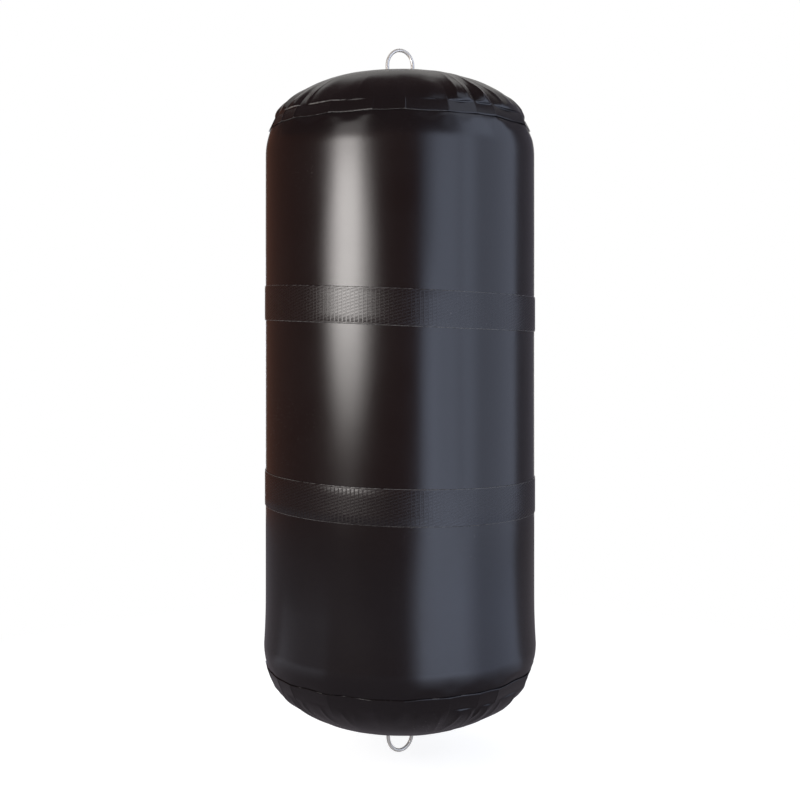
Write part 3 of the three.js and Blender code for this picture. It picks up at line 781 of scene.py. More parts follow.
def puffed_row(end, length, rise):
    """One ring above the weld; rise goes from 0 at the lip's foot to 1 at its top."""
    side = end["side"]
    crest = WELD_WIDTH + LIP_LENGTH[side]
    number, place = tuck_at(DISC_ANGLES + sway(length, DISC_ANGLES), VALLEY_SHIFT)
    softness = np.clip((length - crest) / VALLEY_SOFTENING, 0, 1)
    swelling = PUFF_HEIGHT[side] * fade_between(length, crest, length_at(end, PUFF_END_RADIUS))
    reach = length_at(end, np.array(RIDGE_REACHES)[number])
    ridge = RIDGE_HEIGHT[side] * fade_between(length, crest, reach) * puff(place, 1.0)
    height = swelling * tuck_strength(number) * puff(place, softness) + ridge
    height += crease_height(end, length, DISC_ANGLES)
    smooth = end_surface(end, length, DISC_ANGLES, 0.0)
    height += undulation(smooth, DISC_UNEVENNESS, DISC_WAVES)
    height += undulation(smooth, DISC_RIPPLE, 2.5 * DISC_WAVES)
    start = weld_lift(side, *tuck_at(DISC_ANGLES)) - LAY_GAP - FABRIC
    lift = LAY_GAP + FABRIC + start * (1 - rise) + height * rise
    return end_surface(end, length, DISC_ANGLES, lift)


# %% End discs
def edge_core_and_highlight(side):
    """How pale the cut edge is: the fabric's pale core shows a little all round, and a painted highlight
    makes it paler on the left of the front, where the strip lamp's light falls, on the lower disc in specks.
    """
    shown = shown_between(205, 292) if side > 0 else shown_between(222, 302)
    if side < 0:
        specks = np.sin(37 * DISC_ANGLES) + np.sin(61 * DISC_ANGLES + 1)
        shown *= np.clip(2 * specks - 1, 0, 1)
    return 0.06 + 0.54 * shown


def shown_between(low, high):
    """Share from 0 to 1 round the disc: 1 between two angles in degrees, fading at both."""
    middle = math.radians((low + high) / 2)
    turned_away = np.abs(np.mod(DISC_ANGLES - middle + math.pi, 2 * math.pi) - math.pi)
    return np.clip((math.radians(high - low) / 2 - turned_away) / 0.04, 0, 1)


def disc_rows(end):
    """Rings of one disc, and how much pale core and painted highlight each shows: in under the disc to the
    cut edge, over the edge, across the weld, up the lip, and over the dome to the pole."""
    side = end["side"]
    angles = DISC_ANGLES
    wavy = EDGE_SHIFT[side] + EDGE_WAVINESS * (
        np.sin(3 * angles + 1) + np.sin(7 * angles) + 0.5 * np.sin(23 * angles))
    number, place = tuck_at(angles)
    top = weld_lift(side, number, place)
    rows = [end_surface(end, length, angles, LAY_GAP) for length in np.linspace(end["centre"], 0.012, 8)]
    rows.append(end_surface(end, wavy + EDGE_ROUNDING, angles, LAY_GAP))
    rows.append(end_surface(end, wavy, angles, LAY_GAP + EDGE_ROUNDING / 2))
    rows.append(end_surface(end, wavy, angles, LAY_GAP + 0.9 * FABRIC))
    rows.append(end_surface(end, wavy, angles, top - EDGE_ROUNDING))
    rows.append(end_surface(end, wavy + EDGE_ROUNDING, angles, top))
    none = np.zeros(len(angles))
    # The two rows at the cut edge show the pale core, with a painted highlight on the lit left of the front.
    pale = edge_core_and_highlight(side)
    cut = [none] * 9 + [pale, 0.7 * pale, none, none]
    for length in np.linspace(0.003, WELD_WIDTH - 0.001, 8):
        rows.append(end_surface(end, length + wavy * (1 - length / WELD_WIDTH), angles, top))
        cut.append(none)
    overhang = LIP_OVERHANG[side] * tuck_strength(number) ** 3 * np.sin(math.pi * place)
    # Painted highlight: two rows up the upper disc's lip are painted pale on the left of the front, where the
    # strip lamp's light falls.
    lip_highlight = LIP_HIGHLIGHT * (shown_between(207, 222) + shown_between(226, 247)) * (side > 0)
    for step, turn in enumerate(np.linspace(0, math.pi / 2, LIP_ROWS + 1)[1:]):
        length = WELD_WIDTH + LIP_LENGTH[side] * (1 - math.cos(turn)) - overhang * math.sin(2 * turn)
        rows.append(puffed_row(end, length, math.sin(turn)))
        cut.append(lip_highlight if step in (1, 2) else none)
    crest = WELD_WIDTH + LIP_LENGTH[side]
    for share in np.linspace(0, 1, DOME_ROWS + 1)[1:]:
        rows.append(puffed_row(end, crest + (end["centre"] - crest) * share, 1.0))
        cut.append(none)
    return rows, np.array(cut)


for name, end in (("top_end_cap", TOP), ("bottom_end_cap", BOTTOM)):
    end["creases"] = make_creases(end["side"])
    rows, cut = disc_rows(end)
    disc = loft(name + "_gathered", rows, cut=cut)
    settle(disc, END_VINYL, stands_for=[name])

# %% [markdown]
# Some things here repeat: over 200 ribs on each wear band, and the stitches of each webbing loop. All of
# them are small bars with rounded ends. Arrays along a curve could place them, but Geometry Nodes do it
# with one tree for both: a bar is made in the tree, and an instance of it stands at every point that the
# tree is given, turned by a heading that is kept with the point. The instances are made real at the end.

# %% Bars at points
BAR_STEPS = 7
BAR_SIDES = 8


def bar_tree(name):
    """Geometry Nodes tree that sets a rounded bar at every point, turned by the point's heading. The bar
    can be sunk, so that only a shallow cap of it shows."""
    tree = bpy.data.node_groups.new(name, "GeometryNodeTree")
    tree.interface.new_socket("Geometry", in_out="INPUT", socket_type="NodeSocketGeometry")
    for label, value in (("Length", 0.07), ("Width", 0.004), ("Height", 0.0005), ("Sunk", 0.0)):
        tree.interface.new_socket(label, in_out="INPUT", socket_type="NodeSocketFloat").default_value = value
    tree.interface.new_socket("Material", in_out="INPUT", socket_type="NodeSocketMaterial")
    tree.interface.new_socket("Geometry", in_out="OUTPUT", socket_type="NodeSocketGeometry")
    given = tree.nodes.new("NodeGroupInput")
    result = tree.nodes.new("NodeGroupOutput")

    half = maths(tree, "MULTIPLY", given.outputs["Length"], 0.5)
    low = add(tree, "ShaderNodeCombineXYZ", Z=maths(tree, "MULTIPLY", half, -1.0))
    high = add(tree, "ShaderNodeCombineXYZ", Z=half)
    line = add(tree, "GeometryNodeCurvePrimitiveLine", Start=low.outputs[0], End=high.outputs[0])
    spread = add(tree, "GeometryNodeResampleCurve", Curve=line.outputs[0], Count=BAR_STEPS)
    along = add(tree, "GeometryNodeSplineParameter").outputs["Factor"]
    from_middle = maths(tree, "ABSOLUTE", maths(tree, "SUBTRACT", along, 0.5))
    from_end = maths(tree, "MULTIPLY", maths(tree, "SUBTRACT", 0.5, from_middle), 7.0, clamp=True)
    rounded = add(tree, "GeometryNodeSetCurveRadius", Curve=spread.outputs[0],
                  Radius=maths(tree, "POWER", maths(tree, "ADD", from_end, 0.05), 0.5))
    circle = add(tree, "GeometryNodeCurvePrimitiveCircle", Resolution=BAR_SIDES, Radius=1.0)
    shape = add(tree, "ShaderNodeCombineXYZ", X=given.outputs["Height"],
                Y=maths(tree, "MULTIPLY", given.outputs["Width"], 0.5), Z=1.0)
    section = add(tree, "GeometryNodeTransform", Geometry=circle.outputs[0], Scale=shape.outputs[0])
    bar = add(tree, "GeometryNodeCurveToMesh", Curve=rounded.outputs[0], Profile_Curve=section.outputs[0])
    bar.inputs["Fill Caps"].default_value = True
    depth = add(tree, "ShaderNodeCombineXYZ", X=maths(tree, "MULTIPLY", given.outputs["Sunk"], -1.0))
    sunk = add(tree, "GeometryNodeTransform", Geometry=bar.outputs[0], Translation=depth.outputs[0])

    heading = add(tree, "GeometryNodeInputNamedAttribute", {"data_type": "FLOAT_VECTOR"}, Name="heading")
    placed = add(tree, "GeometryNodeInstanceOnPoints", Points=given.outputs["Geometry"],
                 Instance=sunk.outputs[0], Rotation=heading.outputs[0])
    real = add(tree, "GeometryNodeRealizeInstances", Geometry=placed.outputs[0])
    smooth = add(tree, "GeometryNodeSetShadeSmooth", Geometry=real.outputs[0])
    painted = add(tree, "GeometryNodeSetMaterial", Geometry=smooth.outputs[0],
                  Material=given.outputs["Material"])
    tree.links.new(painted.outputs[0], result.inputs[0])
    return tree


BARS = bar_tree("rounded_bars")


def set_bars(name, points, headings, material, **sizes):
    """Plain mesh of bars at the given points; each heading is a rotation about X, Y and Z."""
    mesh = bpy.data.meshes.new(name)
    mesh.from_pydata(np.asarray(points).tolist(), [], [])
    turns = mesh.attributes.new("heading", "FLOAT_VECTOR", "POINT")
    turns.data.foreach_set("vector", np.asarray(headings, np.float32).ravel())
    holder = link(mesh)
    modifier = holder.modifiers.new("bars", "NODES")
    modifier.node_group = BARS
    values = dict(sizes, Material=material)
    for item in BARS.interface.items_tree:
        if item.in_out == "INPUT" and item.name in values:
            modifier[item.identifier] = values[item.name]
    bpy.context.view_layer.update()
    made = holder.evaluated_get(bpy.context.evaluated_depsgraph_get())
    result = bpy.data.meshes.new_from_object(made)
    result.name = name
    bpy.data.objects.remove(holder)
    return link(result)


# %% [markdown]
# A wear band is a strip of ribbed cloth that takes the rubbing. It is laid round the tube, a little out of
# level, and doubled over the lap seam. The strip is a loft of its cross-section round the tube, with a
# pressed groove along each edge. A rib is nearly all sunk in the strip, so that only a shallow cap shows.

# %% Wear bands
BAND_WIDTH = 0.075
BAND_THICKNESS = 0.0015
BAND_SEAM = 0.004
BAND_EDGE = 0.0004
RIB_PITCH = 0.0088
RIB_SHARE = 0.94
RIB_HEIGHT = 0.0006
RIB_SUNK = 0.00054


def band_point(angle, lift, height, slope, offset):
    """Points of a band: lift above the fabric, doubled over the lap seam, and offset across the band."""
    doubled = lift * (lap_lift(angle) / LAP_STEP)
    radius = TUBE_RADIUS + lap_lift(angle) + LAY_GAP + lift + doubled
    level = height - slope * TUBE_RADIUS * np.cos(angle) + offset
    return np.stack(np.broadcast_arrays(radius * np.cos(angle), radius * np.sin(angle), level), axis=-1)


def make_band(name, slope):
    low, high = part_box(name)
    height = (low.z + high.z) / 2
    half = BAND_WIDTH / 2
    section = [(0.0, -half), (BAND_THICKNESS * 0.45, -half - BAND_EDGE), (BAND_THICKNESS * 0.85, -half)]
    section += [(BAND_THICKNESS, -half + 0.001)]
    flat = np.linspace(-half + BAND_SEAM, half - BAND_SEAM, 5)
    section += [(BAND_THICKNESS * 0.8, -half + BAND_SEAM * 0.7)] + [(BAND_THICKNESS, x) for x in flat]
    section += [(BAND_THICKNESS * 0.8, half - BAND_SEAM * 0.7), (BAND_THICKNESS, half - 0.001)]
    section += [(BAND_THICKNESS * 0.85, half), (BAND_THICKNESS * 0.45, half + BAND_EDGE), (0.0, half)]
    rows = [band_point(ANGLES, lift, height, slope, offset) for lift, offset in section]
    around = np.append(ANGLES, 2 * math.pi) * TUBE_RADIUS
    uv = np.stack([np.broadcast_to(around, (len(section), len(around))),
                   np.broadcast_to(np.array([p[1] for p in section])[:, None], (len(section), len(around)))],
                  axis=-1)
    cut = np.array([0.25 if abs(offset) >= half else 0.0 for lift, offset in section])[:, None]
    strip = loft(name + "_strip", rows, endless=True, cut=cut, uv=uv)
    settle(strip, BAND_CLOTH, stands_for=[name])

    count = round(2 * math.pi * TUBE_RADIUS / RIB_PITCH)
    turns = np.arange(count) / count * 2 * math.pi
    points = band_point(turns, BAND_THICKNESS, height, slope, 0.0)
    headings = np.stack([np.zeros(count), np.zeros(count), turns], axis=1)
    ribs = set_bars(name + "_ribs", points, headings, BAND_CLOTH,
                    Length=BAND_WIDTH - 2 * BAND_SEAM, Width=RIB_PITCH * RIB_SHARE,
                    Height=RIB_HEIGHT, Sunk=RIB_SUNK)
    settle(ribs, BAND_CLOTH)


make_band("upper_wear_band", slope=0.042)
make_band("lower_wear_band", slope=0.026)

# %% [markdown]
# The D-rings are bent from round wire. A curve with a round bevel would look the same, but the loft gives
# sections that are evenly spaced and a mesh that is closed. The line of the wire is worked out as a
# straight bar, two corners and an elliptic bow, then resampled at equal steps, and a circle is carried
# along it. Both rings are made in the frame of their pole, with the bar along X, and then moved there.

# %% D-rings
WIRE = 0.008
RING_INNER_WIDTH = 0.050
RING_HEIGHT = 0.0545
RING_CORNER = 0.009
RING_SHOULDER = 0.020
WIRE_STATIONS = 180
WIRE_SIDES = 24
STRAP_THICKNESS = 0.0018
RUNNING_GAP = 0.0004
RING_PATCH_THICKNESS = 0.0025
STRAP_FOOT = PATCH_FOOT + RING_PATCH_THICKNESS + LAY_GAP
BAR_HEIGHT = STRAP_FOOT + WIRE / 2 + RUNNING_GAP
LOOP_SLACK = {"top": 0.0, "bottom": 0.0056}
TOP_RING_TURN = math.radians(13)
BOTTOM_RING_TURN = math.radians(-24)


def pole_frame(side, pole, turn):
    """Matrix from a pole's own frame, with +Z outwards and the bar along X, to the model's."""
    flip = Matrix.Rotation(math.pi, 4, "X") if side < 0 else Matrix.Identity(4)
    return Matrix.Translation((0, 0, pole)) @ flip @ Matrix.Rotation(turn, 4, "Z")


POLES = {
    "top": pole_frame(1, TOP_POLE, TOP_RING_TURN),
    "bottom": pole_frame(-1, BOTTOM_POLE, BOTTOM_RING_TURN),
}


def moved(points, matrix):
    """Array of points, of any shape, moved by a matrix."""
    points = np.asarray(points, float)
    turn = np.array(matrix.to_3x3())
    return points @ turn.T + np.array(matrix.translation)


def ring_line():
    """Points of the wire's middle in its own plane, as x and z."""
    half = (RING_INNER_WIDTH + WIRE) / 2
    flat = half - RING_CORNER
    corner = np.linspace(0, math.pi / 2, 12)
    right = [(flat + RING_CORNER * math.sin(a), RING_CORNER * (1 - math.cos(a))) for a in corner]
    bow = np.linspace(0, math.pi, 60)
    rise = RING_HEIGHT - RING_SHOULDER
    arch = [(half * math.cos(a), RING_SHOULDER + rise * math.sin(a)) for a in bow]
    left = [(-x, z) for x, z in reversed(right)]
    return np.array(right + arch + left)


def even_steps(line, count):
    """A closed line with its points at equal distances."""
    closed = np.vstack([line, line[:1]])
    far = np.concatenate([[0], np.cumsum(np.linalg.norm(np.diff(closed, axis=0), axis=1))])
    wanted = np.arange(count) / count * far[-1]
    return np.stack([np.interp(wanted, far, closed[:, i]) for i in range(closed.shape[1])], axis=1)


def make_ring(name, side_name):
    flat = even_steps(ring_line(), WIRE_STATIONS)
    height = BAR_HEIGHT + LOOP_SLACK[side_name]
    line = np.stack([flat[:, 0], np.zeros(WIRE_STATIONS), flat[:, 1] + height], axis=1)
    along = np.roll(line, -1, axis=0) - np.roll(line, 1, axis=0)
    along /= np.linalg.norm(along, axis=1)[:, None]
    across = np.array([0.0, 1.0, 0.0])
    out = np.cross(across, along)
    turns = np.arange(WIRE_SIDES) / WIRE_SIDES * 2 * math.pi
    rings = line[:, None, :] + WIRE / 2 * (
        out[:, None, :] * np.cos(turns)[None, :, None] + across * np.sin(turns)[None, :, None])
    ring = loft(name + "_wire", moved(rings, POLES[side_name]), endless=True)
    settle(ring, STEEL, body=name, stands_for=[name])


make_ring("top_ring", "top")
make_ring("bottom_ring", "bottom")

# %% [markdown]
# Each ring runs in a loop of webbing sewn to a round reinforcing patch, which spreads the pull over the
# fabric. The patch is a turned shape, with a pressed groove inside its rim. The loop is one strip: a leg,
# an arch over the bar and the other leg. A plane with Solidify would give it square edges, so its section
# is drawn with rounded selvedges and carried along the strip. The stitches, a box with a cross on each
# leg, are bars set by the Geometry Nodes tree from above.

# %% Patches and loops
RING_PATCH_RADIUS = 0.062
STRAP_WIDTH = 0.040
STRAP_LEG = 0.044
STRAP_FILLET = 0.002
STITCH_PITCH = 0.0034
STITCH_SHARE = 0.86
STITCH_WIDTH = 0.0011
STITCH_HEIGHT = 0.0005
PATCH_COLUMNS = 144


def turned(profile, count=96):
    """Rings of a turned piece from its profile of radius and height."""
    turns = np.arange(count) / count * 2 * math.pi
    profile = np.asarray(profile, float)
    x = profile[:, :1] * np.cos(turns)
    y = profile[:, :1] * np.sin(turns)
    return np.stack([x, y, np.broadcast_to(profile[:, 1:], x.shape)], axis=-1)


def make_ring_patch(name, side_name):
    top = PATCH_FOOT + RING_PATCH_THICKNESS
    r = RING_PATCH_RADIUS
    profile = [
        (0.002, PATCH_FOOT), (r - 0.0004, PATCH_FOOT), (r, PATCH_FOOT + 0.0003), (r, top - 0.0012),
        (r - 0.0006, top - 0.0005), (r - 0.002, top - 0.0001), (r - 0.005, top),
        (r - 0.0062, top - 0.0003), (r - 0.0075, top - 0.0004), (r - 0.0088, top - 0.0003),
        (r - 0.010, top), (r * 0.5, top), (0.002, top),
    ]
    cut = np.array([0, 1, 1, 1, 0.4] + [0] * 8, float)[:, None]
    patch = loft(name + "_patch", moved(turned(profile, PATCH_COLUMNS), POLES[side_name]), cut=cut)
    settle(patch, PATCH_VINYL, stands_for=[name])


def strap_line(slack):
    """Middle of the strap's thickness from one leg's end over the bar to the other, as y and z."""
    middle = STRAP_THICKNESS / 2
    inside = WIRE / 2 + RUNNING_GAP
    arch = inside + middle
    fillet = STRAP_FILLET + middle
    foot = arch + fillet
    leg = [(-STRAP_LEG + t * (STRAP_LEG - foot), middle) for t in np.linspace(0, 1, 14)]
    bend = [(-foot + fillet * math.sin(a), middle + fillet * (1 - math.cos(a)))
            for a in np.linspace(0, math.pi / 2, 7)[1:]]
    over = [(-arch * math.cos(a), inside + slack + arch * math.sin(a)) for a in np.linspace(0, math.pi, 25)]
    left = leg + bend + over[:13]
    return np.array(left + [(-y, z) for y, z in reversed(left[:-1])])


def make_strap(name, side_name):
    """Loop of webbing: its rounded section carried along the line, with a UV map in metres."""
    line = strap_line(LOOP_SLACK[side_name])
    along = np.gradient(line, axis=0)
    along /= np.linalg.norm(along, axis=1)[:, None]
    up = np.stack([-along[:, 1], along[:, 0]], axis=1)
    half, thick = STRAP_WIDTH / 2, STRAP_THICKNESS / 2
    across = np.linspace(-half + thick, half - thick, 12)
    selvedge = np.linspace(-math.pi / 2, math.pi / 2, 7)
    section = [(x, thick) for x in across]
    section += [(half - thick + thick * math.cos(a), thick * math.sin(a)) for a in selvedge[::-1][1:-1]]
    section += [(x, -thick) for x in across[::-1]]
    section += [(-half + thick - thick * math.cos(a), thick * math.sin(a)) for a in selvedge[1:-1]]
    rings = []
    for (y, z), (up_y, up_z) in zip(line, up):
        rings.append([(x, y + up_y * h, STRAP_FOOT + z + up_z * h) for x, h in section])
    rings = np.array(rings)
    far = np.concatenate([[0], np.cumsum(np.linalg.norm(np.diff(line, axis=0), axis=1))])
    side_to_side = np.array([x for x, h in section] + [section[0][0]])
    uv = np.stack([np.broadcast_to(side_to_side, (len(line), len(side_to_side))),
                   np.broadcast_to(far[:, None], (len(line), len(side_to_side)))], axis=-1)
    cut = np.zeros((len(line), 1))
    cut[[0, -1]] = 0.6
    strap = loft(name + "_webbing", moved(rings, POLES[side_name]), cut=cut, uv=uv)
    settle(strap, WEBBING, stands_for=[name])


def stitch_rows():
    """Places and directions of the stitches in one box with a cross, in the pole's frame."""
    inner = WIRE / 2 + RUNNING_GAP + STRAP_THICKNESS + STRAP_FILLET + 0.003
    outer = STRAP_LEG - 0.004
    side = STRAP_WIDTH / 2 - 0.0045
    corners = [(-side, inner), (side, inner), (side, outer), (-side, outer), (-side, inner)]
    lines = list(zip(corners[:-1], corners[1:])) + [(corners[0], corners[2]), (corners[1], corners[3])]
    found = []
    for mirror in (1, -1):
        for start, end in lines:
            start = np.array(start) * (1, mirror)
            end = np.array(end) * (1, mirror)
            count = max(2, round(np.linalg.norm(end - start) / STITCH_PITCH))
            direction = math.atan2(end[1] - start[1], end[0] - start[0])
            for i in range(count):
                x, y = start + (end - start) * (i + 0.5) / count
                found.append((x, y, direction))
    return found


def make_stitches(name, side_name):
    matrix = POLES[side_name]
    level = STRAP_FOOT + STRAP_THICKNESS
    points, headings = [], []
    for x, y, direction in stitch_rows():
        lay = matrix.to_3x3() @ Matrix.Rotation(direction, 3, "Z") @ Matrix.Rotation(math.pi / 2, 3, "Y")
        points.append(matrix @ Vector((x, y, level)))
        headings.append(lay.to_euler())
    stitches = set_bars(name, points, headings, THREAD, Length=STITCH_PITCH * STITCH_SHARE,
                        Width=STITCH_WIDTH, Height=STITCH_HEIGHT)
    settle(stitches, THREAD)


for side_name in ("top", "bottom"):
    make_ring_patch(side_name + "_ring_base", side_name)
    make_strap(side_name + "_ring_loop", side_name)
    make_stitches(side_name + "_loop_stitches", side_name)

# %% [markdown]
# The filling valve stands on the back of the upper dome, square to the fabric: a welded collar, a moulded
# socket with a flange and neck, a one-way insert with a rubber flap, and a screw cap with grips. All are
# turned about the valve's own axis. The collar has to follow the dome, so its points are slid along that
# axis until they lie on it. Shrinkwrap would do that too, but onto a mesh's faces, not the true curve.

# %% Valve
VALVE_RADIUS = 0.130
VALVE_PATCH_RADIUS = 0.046
THROAT_RADIUS = 0.0145
SOCKET_RADIUS = 0.017
SOCKET_DEPTH = 0.018
FLANGE_RADIUS = 0.029
FLANGE_THICKNESS = 0.0016
NECK_RADIUS = 0.019
NECK_HEIGHT = 0.010
VALVE_FOOT = LAY_GAP + FABRIC + LAY_GAP
NECK_TOP = VALVE_FOOT + FLANGE_THICKNESS + NECK_HEIGHT
INSERT_FLANGE = 0.0016
CAP_WALL = 0.0034
CAP_GRIPS = 12
GRIP_DEPTH = 0.0009
CAP_COLUMNS = 192
NECK_THREADS = 3
THREAD_PITCH = 0.0024
FITTING_ROUNDS = 12

valve_slope = math.acos((VALVE_RADIUS / TOP["radius"]) ** 2)
valve_length = float(np.interp(valve_slope, TOP["slopes"], TOP["lengths"]))
valve_origin = end_surface(TOP, np.array([valve_length]), np.array([LAP_ANGLE]), LAY_GAP + FABRIC)[0]
VALVE = Matrix.Translation(valve_origin) @ Matrix.Rotation(valve_slope - math.pi / 2, 4, "X")
print("valve at", [round(v, 4) for v in valve_origin])


def dome_height(x, y, lift):
    """Height of the upper dome's surface over a point, raised along its normal."""
    radius = np.hypot(x, y)
    base = TOP["radius"] * np.sqrt(np.cos(TOP["slopes"])) + lift * np.cos(TOP["slopes"])
    level = TOP["edge"] + TOP["rises"] + lift * np.sin(TOP["slopes"])
    return np.interp(radius, base[::-1], level[::-1])


def on_dome(local, lift):
    """Moves points along the valve's axis until they lie on the dome, and gives them in the model's frame."""
    local = np.array(local, float)
    for _ in range(FITTING_ROUNDS):
        world = moved(local, VALVE)
        local[..., 2] += dome_height(world[..., 0], world[..., 1], lift) - world[..., 2]
    return moved(local, VALVE)


def make_valve_patch():
    inner = SOCKET_RADIUS + 0.001
    outer = VALVE_PATCH_RADIUS
    foot = 2 * LAY_GAP + FABRIC
    top = foot + FABRIC
    section = [(inner, foot), (outer - 0.0003, foot), (outer, foot + 0.0003), (outer, top - 0.0004)]
    section += [(outer - 0.0004, top), (outer - 0.004, top), (outer - 0.005, top - 0.0003)]
    section += [(outer - 0.0065, top - 0.0003), (outer - 0.0075, top), (inner + 0.012, top), (inner, top)]
    rows = [on_dome(turned([(radius, 0.0)], PATCH_COLUMNS)[0], lift) for radius, lift in section]
    cut = np.array([0, 1, 1, 1, 0.3] + [0] * 6, float)[:, None]
    patch = loft("valve_collar", rows, endless=True, cut=cut)
    settle(patch, PATCH_VINYL, stands_for=["valve_patch"])


def make_valve_base():
    top = VALVE_FOOT + FLANGE_THICKNESS
    profile = [
        (THROAT_RADIUS, -SOCKET_DEPTH), (SOCKET_RADIUS, -SOCKET_DEPTH), (SOCKET_RADIUS, VALVE_FOOT),
        (FLANGE_RADIUS - 0.0003, VALVE_FOOT), (FLANGE_RADIUS, VALVE_FOOT + 0.0004),
        (FLANGE_RADIUS - 0.0002, top - 0.0005), (FLANGE_RADIUS - 0.0009, top), (FLANGE_RADIUS - 0.003, top),
        (NECK_RADIUS + 0.0008, top), (NECK_RADIUS + 0.0002, top + 0.0003), (NECK_RADIUS, top + 0.001),
    ]
    for turn in range(NECK_THREADS):
        level = top + 0.0022 + turn * THREAD_PITCH
        profile += [(NECK_RADIUS - 0.0002, level - 0.0008), (NECK_RADIUS + 0.0001, level),
                    (NECK_RADIUS - 0.0002, level + 0.0008)]
    profile += [(NECK_RADIUS - 0.0003, NECK_TOP - 0.0006), (NECK_RADIUS - 0.0008, NECK_TOP),
                (THROAT_RADIUS, NECK_TOP)]
    base = loft("valve_socket", moved(turned(profile), VALVE), endless=True)
    settle(base, PLASTIC, stands_for=["valve_base"])


def make_valve_cap():
    foot = VALVE_FOOT + FLANGE_THICKNESS + LAY_GAP
    ceiling = NECK_TOP + LAY_GAP + INSERT_FLANGE + LAY_GAP
    top = ceiling + CAP_WALL
    bore = NECK_RADIUS + RUNNING_GAP
    outer = bore + CAP_WALL
    turns = np.arange(CAP_COLUMNS) / CAP_COLUMNS * 2 * math.pi
    grip = GRIP_DEPTH / 2 * (1 - np.cos(CAP_GRIPS * turns))

    def ring(radius, height, share=0.0):
        around = radius - share * grip
        level = np.full(CAP_COLUMNS, height)
        return np.stack([around * np.cos(turns), around * np.sin(turns), level], axis=1)

    rows = [ring(0.0005, ceiling), ring(bore, ceiling), ring(bore, foot), ring(outer - 0.0008, foot, 0.8)]
    rows += [ring(outer, foot + 0.0008, 1.0), ring(outer, top - 0.0022, 1.0)]
    rows += [ring(outer - 0.0004, top - 0.001, 0.6)]
    rows += [ring(outer - 0.0012, top - 0.0002, 0.2), ring(outer - 0.0022, top), ring(outer - 0.0050, top)]
    rows += [ring(outer - 0.0056, top - 0.0004), ring(outer - 0.0064, top - 0.0006)]
    rows += [ring(0.0005, top - 0.0006)]
    cap = loft("valve_screw_cap", moved(np.array(rows), VALVE))
    settle(cap, PLASTIC, body="valve_cap", stands_for=["valve_cap"])


make_valve_patch()
make_valve_base()
make_valve_cap()

# %% [markdown]
# The insert and its rubber flap are small solids that show only when the cap is off. Their shapes in the
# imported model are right, so they stay, and only get a finish.

# %% Pieces that keep their solids
for node, material in (("valve_insert", PLASTIC), ("valve_diaphragm", RUBBER)):
    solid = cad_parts[node]
    solid.data.materials.clear()
    solid.data.materials.append(material)
    print(node, "keeps its solid")

# %% [markdown]
# The upper weld curves up in the middle and the lower one down, and the sides of the tube are parallel.
# So the camera is close, level and a little above the middle of the fender. Tilting it would make the
# sides converge, so its lens is shifted down instead.

# %% Camera
FOCAL_PIXELS = 1200
IMAGE_PIXELS = 800
HORIZON_ROW = 326
CAMERA_DISTANCE = 2.697
CAMERA_LEVEL = -0.6153

camera_data = bpy.data.cameras.new("photo_camera")
camera_data.sensor_width = 36
camera_data.lens = camera_data.sensor_width * FOCAL_PIXELS / IMAGE_PIXELS
camera_data.shift_y = (HORIZON_ROW - IMAGE_PIXELS / 2) / IMAGE_PIXELS
camera = bpy.data.objects.new("photo_camera", camera_data)
camera.location = (0.0, -CAMERA_DISTANCE, CAMERA_LEVEL)
camera.rotation_euler = (math.pi / 2, 0, 0)
bpy.context.scene.collection.objects.link(camera)
bpy.context.scene.camera = camera
print("lens", camera_data.lens, "shift", camera_data.shift_y)

# %% [markdown]
# The background is pure white. If the world lit the fender at that strength it would wash out the black,
# so Light Path tells the rays apart: the camera, mirrors and glass see white, and the light that falls on
# the object gets about a third of it.

# %% World
AMBIENT = 0.35

world = bpy.data.worlds.new("studio")
bpy.context.scene.world = world
world.use_nodes = True
sky = world.node_tree
background = sky.nodes["Background"]
background.inputs["Color"].default_value = (1, 1, 1, 1)
path = sky.nodes.new("ShaderNodeLightPath")
seen = maths(sky, "MAXIMUM", path.outputs["Is Camera Ray"], path.outputs["Is Glossy Ray"])
seen = maths(sky, "MAXIMUM", seen, path.outputs["Is Transmission Ray"])
strength = maths(sky, "MULTIPLY_ADD", seen, 1 - AMBIENT)
strength.node.inputs[2].default_value = AMBIENT
sky.links.new(strength, background.inputs["Strength"])
bpy.context.scene.view_settings.view_transform = "Standard"
print("world: background 1, light on the object", AMBIENT)

# %% [markdown]
# The fender hangs just over a pale floor, which takes a faint shadow. Further out the floor has to be as
# white as the background, or a horizon would show, so it turns into plain white light there. From below
# it is clear, so that the lower end can be looked at.

# %% Floor
FLOOR_DROP = 0.03
FLOOR_RADIUS = 12.0
FLOOR_GREY = 0.45
FLOOR_GLOW = 1.75
FLOOR_FADE = (1.7, 2.3)


def plain_material(name, colour, emission, roughness=0.9):
    """Matt material that also glows in its own colour."""
    material, tree, shader = start_material(name, roughness, specular=0.0)
    shader.inputs["Base Color"].default_value = colour
    shader.inputs["Emission Color"].default_value = colour
    shader.inputs["Emission Strength"].default_value = emission
    return material


